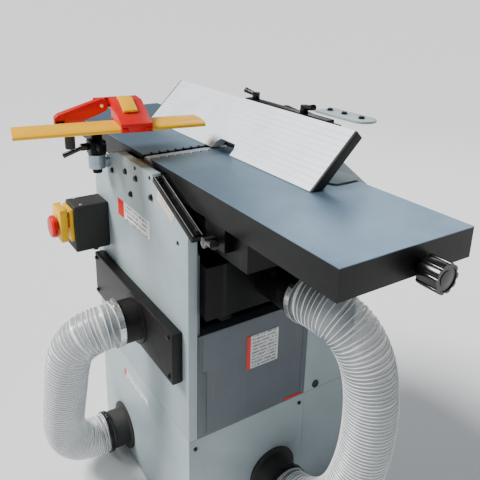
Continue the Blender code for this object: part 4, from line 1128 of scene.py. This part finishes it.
# --- the base and casings -----------------------------------------------------------------------
@dataclass
class Casework:
    """The base and the casings: softened sheet edges, seams, plates and bolts."""

    datum: Datum
    screws: Fasteners
    sheet_edge: float = 0.0011
    seam: float = 0.0006
    seam_reach: float = 0.0009
    seam_y: float = 0.1450
    cover_face: float = -0.184
    plate_thick: float = 0.0008
    slots: int = 7
    slot_pitch: float = 0.014
    front_bolts: tuple[tuple[float, float], ...] = (
        (-0.144, -0.065), (-0.065, -0.046), (-0.009, -0.046), (-0.039, -0.090), (0.065, -0.064),
    )
    cover_screws: tuple[tuple[float, float], ...] = (
        (-0.222, -0.314), (-0.222, -0.404), (0.180, -0.314), (0.180, -0.404), (-0.062, -0.404),
    )

    def build_front(self, nodes: Nodes) -> None:
        """Makes the operator's casing with its bolts."""
        work_up(nodes["front_casing"], "sheet_front_casing", Shop.LIGHT_GREY, "frame", self.sheet_edge)
        for x, height in self.front_bolts:
            spot = (x, self.datum.front, self.datum.level(height))
            self.screws.fit("casing_bolt", Head.HEX, spot, FRONTWARD, "frame")
        for x, height in ((-0.012, -0.024), (0.060, -0.024), (0.178, -0.118)):
            spot = (x, self.datum.front, self.datum.level(height))
            self.screws.fit("edge_screw", Head.PAN, spot, FRONTWARD, "frame", size=0.8)

    def build_base(self, nodes: Nodes) -> None:
        """Makes the base cabinet, with the seam where its side sheet meets the back."""
        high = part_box("base_cabinet")[1]
        reach, short = self.seam_reach, 0.012
        corner = Bench.block("seam", (high.x - reach, self.seam_y - self.seam, short),
                             (high.x + reach, self.seam_y + self.seam, high.z - short))
        work_up(nodes["base_cabinet"], "sheet_base_cabinet", Shop.LIGHT_GREY, "frame", self.sheet_edge,
                cutters=[corner])
        for y in (-0.145, 0.130):
            for height in (-0.575, -0.825):
                spot = (high.x, y, self.datum.level(height))
                self.screws.fit("base_screw", Head.PAN, spot, ENDWARD, "frame")

    def build_end(self, nodes: Nodes) -> None:
        """Makes the lower sheet on the infeed end, with its folded seams, stripe and plug."""
        lv, face, reach = self.datum.level, self.datum.end, self.seam_reach
        seams = []
        for y, top, bottom in ((-0.128, -0.311, -0.394), (-0.119, -0.394, -0.545), (0.128, -0.311, -0.545)):
            seams.append(Bench.block("seam", (face - reach, y - self.seam, lv(bottom)),
                                     (face + reach, y + self.seam, lv(top))))
        seams.append(Bench.block("seam", (face - reach, -0.1286, lv(-0.3946)),
                                 (face + reach, -0.1184, lv(-0.3934))))
        # The end panel takes the darker grey, which is painted shade.
        work_up(nodes["end_panel_infeed"], "sheet_end_panel_infeed", Shop.SHADED_GREY, "frame", 0.0008,
                cutters=seams)
        stripe = Bench.block("warning_stripe", (face + 0.0001, 0.084, lv(-0.5500)),
                             (face + 0.0009, 0.134, lv(-0.5445)))
        Bench.soften(stripe, 0.0003)
        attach(coat(stripe, Shop.RED), "frame")
        plug = Bench.barrel("hole_plug", (face + 0.0001, 0.175, lv(-0.5400)), ENDWARD, 0.0095, 0.0022, 36)
        with Bench.editing(plug):
            Bench.choose(plug, lambda _, normal: normal.x > 0.9)
            bpy.ops.mesh.inset(thickness=0.0024)
            Bench.push((-0.0012, 0.0, 0.0))
        Bench.soften(plug, 0.0004)
        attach(coat(plug, Shop.BLACK_PLASTIC), "frame")

    def plate(self, name: str, low: Point, high: Point, finish: Shop) -> None:
        """Makes one thin plate with a raised rim.

        Args:
            name: Name of the plate.
            low: Its lowest corner.
            high: Its highest corner.
            finish: Its finish.
        """
        made = Bench.block(name, low, high)
        size = Vector(high) - Vector(low)
        thin = min(range(3), key=lambda axis: size[axis])
        out = Vector((0.0, 0.0, 0.0))
        out[thin] = 1.0 if thin == 0 else -1.0
        with Bench.editing(made):
            Bench.choose(made, lambda _, normal: normal.dot(out) > 0.9)
            bpy.ops.mesh.inset(thickness=0.0011)
            Bench.push(tuple(out * -0.0003))
        Bench.soften(made, 0.0002)
        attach(coat(made, finish), "frame")
        LOG.info("%s made", name)

    def build_plates(self) -> None:
        """Makes the data plate, the danger label and the base label, all with made-up lines."""
        lv, front = self.datum.level, self.datum.front
        thick = self.plate_thick
        low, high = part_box("rating_plate")
        self.plate("data_plate", tuple(low), tuple(high), Shop.DATA_PLATE)
        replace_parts(bpy.data.objects["data_plate"], "rating_plate")
        self.plate("casing_label", (-0.117, front - thick, lv(-0.162)), (0.053, front - 0.0001, lv(-0.122)),
                   Shop.CASING_LABEL)
        self.plate("base_label", (-0.126, front - thick, lv(-0.607)), (0.015, front - 0.0001, lv(-0.590)),
                   Shop.BASE_LABEL)

    def build_rear(self, nodes: Nodes) -> None:
        """Makes the rear casing with its cooling slots and the screws round its edge."""
        low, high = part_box("rear_casing")
        slots = []
        for i in range(self.slots):
            height = self.datum.level(-0.480 + self.slot_pitch * i)
            for start in (-0.215, -0.130):
                slots.append(Bench.block("slot", (start, high.y - 0.010, height),
                                         (start + 0.070, high.y + 0.004, height + 0.005)))
        work_up(nodes["rear_casing"], "sheet_rear_casing", Shop.LIGHT_GREY, "frame", self.sheet_edge,
                cutters=[Bench.join("slots", slots)])
        for x in (low.x + 0.014, (low.x + high.x) / 2, high.x - 0.014):
            for height in (-0.090, -0.310, -0.538):
                spot = (x, high.y, self.datum.level(height))
                self.screws.fit("rear_screw", Head.PAN, spot, (0.0, 1.0, 0.0), "frame")
        LOG.info("rear casing has %d slots", 2 * self.slots)

    def build_door(self, nodes: Nodes) -> None:
        """Makes the cabinet door with its hinge knuckles."""
        work_up(nodes["base_door"], "sheet_base_door", Shop.LIGHT_GREY, "door", 0.0008)
        low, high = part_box("base_door")
        for height in (-0.790, -0.640):
            knuckle = Bench.barrel("hinge_knuckle", (high.x - 0.0030, low.y, self.datum.level(height)),
                                   UPWARD, 0.0024, 0.030, 24)
            Bench.soften(knuckle, 0.0004)
            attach(coat(knuckle, Shop.BLACK_STEEL), "door")

    def build_cover(self, nodes: Nodes) -> None:
        """Makes the extraction duct's cover on the operator's side, with its screws."""
        work_up(nodes["duct_cover"], "coated_duct_cover", Shop.COVER, "frame", 0.0008, angle=50.0)
        for x, height in self.cover_screws:
            spot = (x, self.cover_face, self.datum.level(height))
            self.screws.fit("cover_screw", Head.HEX, spot, FRONTWARD, "frame", size=0.85)

    def build(self, nodes: Nodes) -> None:
        """Makes the whole casework in order."""
        self.build_base(nodes)
        self.build_front(nodes)
        self.build_rear(nodes)
        self.build_door(nodes)
        self.build_end(nodes)
        self.build_cover(nodes)
        self.build_plates()


# --- the infeed side ----------------------------------------------------------------------------
@dataclass
class InfeedGear:
    """Height knob, slideway guides, depth scale and the fittings of the infeed table."""

    datum: Datum
    screws: Fasteners
    knob_radius: float = 0.0238
    flutes: int = 10
    flute_radius: float = 0.0045
    strip: float = 0.0012
    knob_y: float = 0.027
    guide_rows: tuple[float, float] = (-0.1615, -0.1432)
    screw_row: float = -0.1521
    scale_at: tuple[float, float] = (0.099, -0.038)

    def build_knob(self) -> None:
        """Makes the fluted height knob and its stem."""
        low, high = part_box("height_knob")
        start = Vector((low.x + 0.0062, self.knob_y, (low.z + high.z) / 2))
        length = high.x - start.x - 0.0004
        knob = Bench.barrel("fluted_knob", start, ENDWARD, self.knob_radius, length, 64)
        with Bench.editing(knob):
            Bench.choose(knob, lambda _, normal: normal.x > 0.9)
            bpy.ops.mesh.inset(thickness=0.0045)
            Bench.push((-0.0016, 0.0, 0.0))
            bpy.ops.mesh.inset(thickness=0.0070)
            Bench.push((0.0010, 0.0, 0.0))
        cutters = []
        for i in range(self.flutes):
            turn = math.tau * (i + 0.5) / self.flutes
            reach = self.knob_radius + self.flute_radius * 0.42
            place = start + Vector((-0.004, math.cos(turn) * reach, math.sin(turn) * reach))
            cutters.append(Bench.barrel("flute", place, ENDWARD, self.flute_radius, length + 0.010, 20))
        Bench.carve(knob, Bench.join("flutes", cutters))
        Bench.soften(knob, 0.0009, 3)
        stem = Bench.barrel("stem", (low.x + 0.0002, self.knob_y, start.z), ENDWARD, 0.0098, 0.0070, 32)
        Bench.soften(stem, 0.0006)
        made = Bench.join("fluted_knob", [knob, stem])
        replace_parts(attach(coat(made, Shop.GLOSS_BLACK), "height_knob"), "height_knob")
        LOG.info("height knob with %d flutes", self.flutes)

    def build_slideway(self, nodes: Nodes) -> None:
        """Makes the slideway's body, its two bright guide strips and its end screws."""
        work_up(nodes["slideway_front"], "cast_slideway", Shop.BLACK_PAINT, "frame", 0.0009)
        slope = self.datum.slide_slope
        for y in self.guide_rows:
            guide = Bench.block("guide_strip", (0.004, -self.strip / 2, 0.0), (0.173, self.strip / 2, 0.0010))
            guide.rotation_euler.y = slope + math.radians(-0.66)
            guide.location = self.datum.on_slide(0.0, 0.0110, y)
            Bench.settle(guide)
            Bench.soften(guide, 0.0003)
            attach(coat(guide, Shop.STEEL), "frame")
        up = (math.sin(slope), 0.0, math.cos(slope))
        for along in (0.010, 0.168):
            spot = self.datum.on_slide(along, 0.0113 + 0.008 * along, self.screw_row)
            self.screws.fit("slideway_screw", Head.SOCKET, spot, up, "frame", size=0.75)

    def build_scale(self) -> None:
        """Makes the depth-of-cut scale that lies along the slideway on the casing."""
        slope = self.datum.slide_slope
        x, height = self.scale_at
        place = Vector((x, self.datum.front, self.datum.level(height)))
        plate = Bench.block("depth_scale", (0.0, -0.0008, -0.022), (0.072, -0.0001, 0.0))
        plate.rotation_euler.y = slope
        plate.location = place
        Bench.settle(plate)
        Bench.soften(plate, 0.0002)
        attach(coat(plate, Shop.CREAM), "frame")
        ticks = []
        for i in range(13):
            tall = 0.009 if i % 3 == 0 else 0.005
            ticks.append(Bench.block("tick", (0.006 + 0.005 * i, -0.0010, -0.003 - tall),
                                     (0.0066 + 0.005 * i, -0.0007, -0.003)))
        marks = Bench.join("scale_marks", ticks)
        marks.rotation_euler.y = slope
        marks.location = place
        Bench.settle(marks)
        Bench.soften(marks, 0.00008, 1)
        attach(coat(marks, Shop.BLACK_PLASTIC), "frame")
        LOG.info("depth scale with %d marks", len(ticks))

    def build_lever(self, nodes: Nodes) -> None:
        """Makes the table lock's lever with rounded ends."""
        work_up(nodes["infeed_lock_lever"], "lock_lever", Shop.GLOSS_BLACK, "infeed_lock_lever", 0.0010,
                angle=50.0)

    def build(self, nodes: Nodes) -> None:
        """Makes everything on the infeed side in order."""
        self.build_knob()
        self.build_slideway(nodes)
        self.build_scale()
        self.build_lever(nodes)


# --- the switch ---------------------------------------------------------------------------------
@dataclass
class SwitchGear:
    """The switch box with its flap, hinge and mushroom."""

    screws: Fasteners
    rounding: dict[str, float]
    hinge_y: float = -0.259
    gland_y: float = -0.186

    def build(self, nodes: Nodes) -> None:
        """Works up each part of the switch, then fits its hinge and screws."""
        finishes = {
            "switch_box": Shop.BLACK_PLASTIC, "switch_plate": Shop.SWITCH_YELLOW,
            "switch_flap": Shop.SWITCH_YELLOW, "stop_mushroom": Shop.RED,
            "start_button": Shop.GREEN, "stop_button": Shop.RED,
        }
        for name, finish in finishes.items():
            body = "frame" if name in ("switch_box", "switch_plate") else name
            work_up(nodes[name], "moulded_" + name, finish, body, self.rounding[name], angle=42.0)
        low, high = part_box("switch_flap")
        for x in (low.x - 0.0021, high.x + 0.0001):
            pin = Bench.barrel("hinge_pin", (x, self.hinge_y, high.z - 0.003), ENDWARD, 0.0017, 0.0020, 24)
            Bench.soften(pin, 0.0003)
            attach(coat(pin, Shop.BAND_STEEL), "switch_flap")
        box_low, box_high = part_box("switch_box")
        for x in (box_low.x + 0.010, box_high.x - 0.010):
            spot = (x, box_low.y + 0.020, box_high.z)
            self.screws.fit("switch_screw", Head.PAN, spot, UPWARD, "frame", Shop.STEEL, 0.8)
        gland = Bench.barrel("cable_gland", ((box_low.x + box_high.x) / 2, self.gland_y, box_low.z + 0.0005),
                             (0.0, 0.0, -1.0), 0.0090, 0.014, 12)
        with Bench.editing(gland):
            Bench.choose(gland, lambda _, normal: normal.z < -0.9)
            bpy.ops.mesh.inset(thickness=0.0026)
            Bench.push((0.0, 0.0, -0.0040))
        Bench.soften(gland, 0.0006)
        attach(coat(gland, Shop.BLACK_PLASTIC), "frame")


# --- the bridge guard ---------------------------------------------------------------------------
@dataclass
class BridgeGuard:
    """The guard bar, the arm and holder that carry it, and their pivots."""

    datum: Datum
    screws: Fasteners
    pin_radius: float = 0.0042
    arm_pivot: Point = (-0.0914, -0.094, 0.060)
    holder_pivot: Point = (-0.0940, -0.005, 0.095)
    feet_across: tuple[float, float] = (-0.0485, 0.0462)
    feet_along: tuple[float, float] = (0.0128, 0.0622)

    def build_parts(self, nodes: Nodes) -> None:
        """Rounds the edges of every part of the guard."""
        parts = (
            ("guard_bar", Shop.YELLOW, "guard_bar", 0.0016), ("guard_clip", Shop.YELLOW, "guard_clip",
                                                              0.0006),
            ("guard_arm", Shop.RED, "guard_arm", 0.0008), ("guard_holder", Shop.RED, "guard_holder", 0.0010),
            ("guard_post", Shop.BLACK_PAINT, "guard_mount", 0.0010),
            ("guard_clamp", Shop.BLACK_PAINT, "guard_mount", 0.0008),
            ("guard_clamp_lever", Shop.GLOSS_BLACK, "guard_clamp_lever", 0.0009),
        )
        for name, finish, body, width in parts:
            work_up(nodes[name], "worked_" + name, finish, body, width, angle=42.0)

    def pin(self, name: str, start: Point, length: float, body: str) -> None:
        """Makes a headed pivot pin across the guard.

        Args:
            name: Name of the pin.
            start: Its head's outer end, in the guard's own frame.
            length: Its length.
            body: The body it rides on.
        """
        head = Bench.barrel(name, start, ENDWARD, self.pin_radius * 1.5, 0.0022, 28)
        shank = Bench.barrel("shank", start, ENDWARD, self.pin_radius, length, 28)
        Bench.soften(head, 0.0005)
        Bench.soften(shank, 0.0005)
        made = Bench.join(name, [head, shank])
        made.matrix_world = self.datum.guard_matrix()
        Bench.settle(made)
        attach(coat(made, Shop.BAND_STEEL), body)

    def build_feet(self) -> None:
        """Makes the round feet that hook the holder over the bar's edges."""
        feet = []
        for across in self.feet_across:
            for along in self.feet_along:
                foot = Bench.barrel("foot", (across, along, 0.0652), (0.0, 1.0, 0.0), 0.0060, 0.0135, 28)
                Bench.soften(foot, 0.0014, 3)
                feet.append(foot)
        made = Bench.join("holder_feet", feet)
        made.matrix_world = self.datum.guard_matrix()
        Bench.settle(made)
        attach(coat(made, Shop.RED), "guard_holder")

    def build(self, nodes: Nodes) -> None:
        """Makes the guard in order."""
        self.build_parts(nodes)
        self.pin("arm_pivot", self.arm_pivot, 0.0350, "guard_mount")
        self.pin("holder_pivot", self.holder_pivot, 0.0335, "guard_holder")
        self.build_feet()
        frame = self.datum.guard_matrix()
        for across, along in ((-0.078, -0.020), (-0.120, 0.0)):
            spot = frame @ Vector((across, along, 0.044))
            self.screws.fit("shelf_screw", Head.SOCKET, spot, UPWARD, "guard_mount", size=0.8)
        LOG.info("guard pivots fitted")


# --- the fence ----------------------------------------------------------------------------------
@dataclass
class Fence:
    """The extruded fence with its grooved face, and its end caps."""

    datum: Datum
    screws: Fasteners
    first: float = 0.013
    pitch: float = 0.0122
    grooves: int = 10
    groove: float = 0.0011

    def build_body(self, nodes: Nodes) -> None:
        """Makes the extrusion, with a row of fine grooves along its face."""
        low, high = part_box("fence_body")
        cutters = []
        for i in range(self.grooves):
            cutter = Bench.block("groove", (low.x - 0.01, -self.groove / 2, -0.0009),
                                 (high.x + 0.01, self.groove / 2, 0.0009))
            cutter.rotation_euler.x = self.datum.fence_lean
            cutter.location = self.datum.on_fence(0.0, self.first + self.pitch * i, 0.0)
            cutters.append(Bench.settle(cutter))
        work_up(nodes["fence_body"], "extruded_fence", Shop.ALUMINIUM, "fence", 0.00025, 50.0, 1,
                [Bench.join("grooves", cutters)])
        LOG.info("fence with %d grooves", self.grooves)

    def build(self, nodes: Nodes) -> None:
        """Makes the fence and what sits behind it."""
        self.build_body(nodes)
        parts = (
            ("fence_cap_near", Shop.BLACK_PLASTIC, "fence", 0.0008),
            ("fence_cap_far", Shop.BLACK_PLASTIC, "fence", 0.0008),
            ("fence_bracket", Shop.BLACK_PAINT, "fence", 0.0008),
            ("fence_top_plate", Shop.LIGHT_GREY, "fence_carriage", 0.0008),
            ("fence_carriage", Shop.BLACK_PAINT, "fence_carriage", 0.0010),
            ("rear_guard", Shop.LIGHT_GREY, "fence_carriage", 0.0005),
            ("fence_tilt_lever", Shop.GLOSS_BLACK, "fence_tilt_lever", 0.0009),
            ("fence_slide_lever", Shop.GLOSS_BLACK, "fence_slide_lever", 0.0009),
        )
        for name, finish, body, width in parts:
            work_up(nodes[name], "worked_" + name, finish, body, width, angle=42.0)
        low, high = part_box("fence_top_plate")
        for x in (low.x + 0.018, low.x + 0.060, high.x - 0.030):
            spot = (x, (low.y + high.y) / 2, high.z)
            self.screws.fit("top_plate_bolt", Head.HEX, spot, UPWARD, "fence_carriage")


# --- the whole machine --------------------------------------------------------------------------
NODE_FINISH: dict[Shop, tuple[str, ...]] = {
    # The side walls, the outfeed end panel and the motor take the darker grey, which is painted shade.
    Shop.SHADED_GREY: ("front_side_wall", "rear_side_wall", "end_panel_outfeed", "motor"),
    Shop.BLACK_PLASTIC: ("guard_knob",),
    Shop.TABLE: ("infeed_table", "outfeed_table"),
    Shop.BED: ("thicknesser_bed",),
    Shop.BLACK_PAINT: ("infeed_carriage", "screw_support", "bed_crank", "chip_hood"),
    Shop.STEEL: ("cutterblock", "infeed_roller", "outfeed_roller", "feed_chain", "motor_pulley",
                 "kickback_fingers", "bed_screw", "fence_rail"),
    Shop.BAND_STEEL: ("hose_clamp_front", "hose_clamp_end"),
    Shop.ZINC: ("guard_socket",),
    Shop.RUBBER: ("drive_belt",),
}


def dress_nodes(nodes: Nodes) -> None:
    """Gives every CAD node that stays in view its finish.

    Args:
        nodes: The frame's nodes by name.
    """
    for finish, names in NODE_FINISH.items():
        for name in names:
            coat(nodes[name], finish)
            LOG.info("%s finished with %s", name, finish.value.name)


def main() -> None:
    """Builds the visual model in order."""
    logging.basicConfig(level=logging.INFO, format="%(name)s: %(message)s")
    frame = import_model()
    datum = Datum.from_frame()
    Studio().build()
    nodes = frame["nodes"]
    dress_nodes(nodes)
    ducting = Ducting(datum)
    ducting.build_hoses()
    ducting.build_clamps(nodes)
    screws = Fasteners()
    Casework(datum, screws).build(nodes)
    InfeedGear(datum, screws).build(nodes)
    rounding = {
        "switch_box": 0.0012, "switch_plate": 0.0006, "switch_flap": 0.0006, "stop_mushroom": 0.0006,
        "start_button": 0.0012, "stop_button": 0.0012,
    }
    SwitchGear(screws, rounding).build(nodes)
    BridgeGuard(datum, screws).build(nodes)
    Fence(datum, screws).build(nodes)
    screws.put_away()


if __name__ == "__main__":
    main()
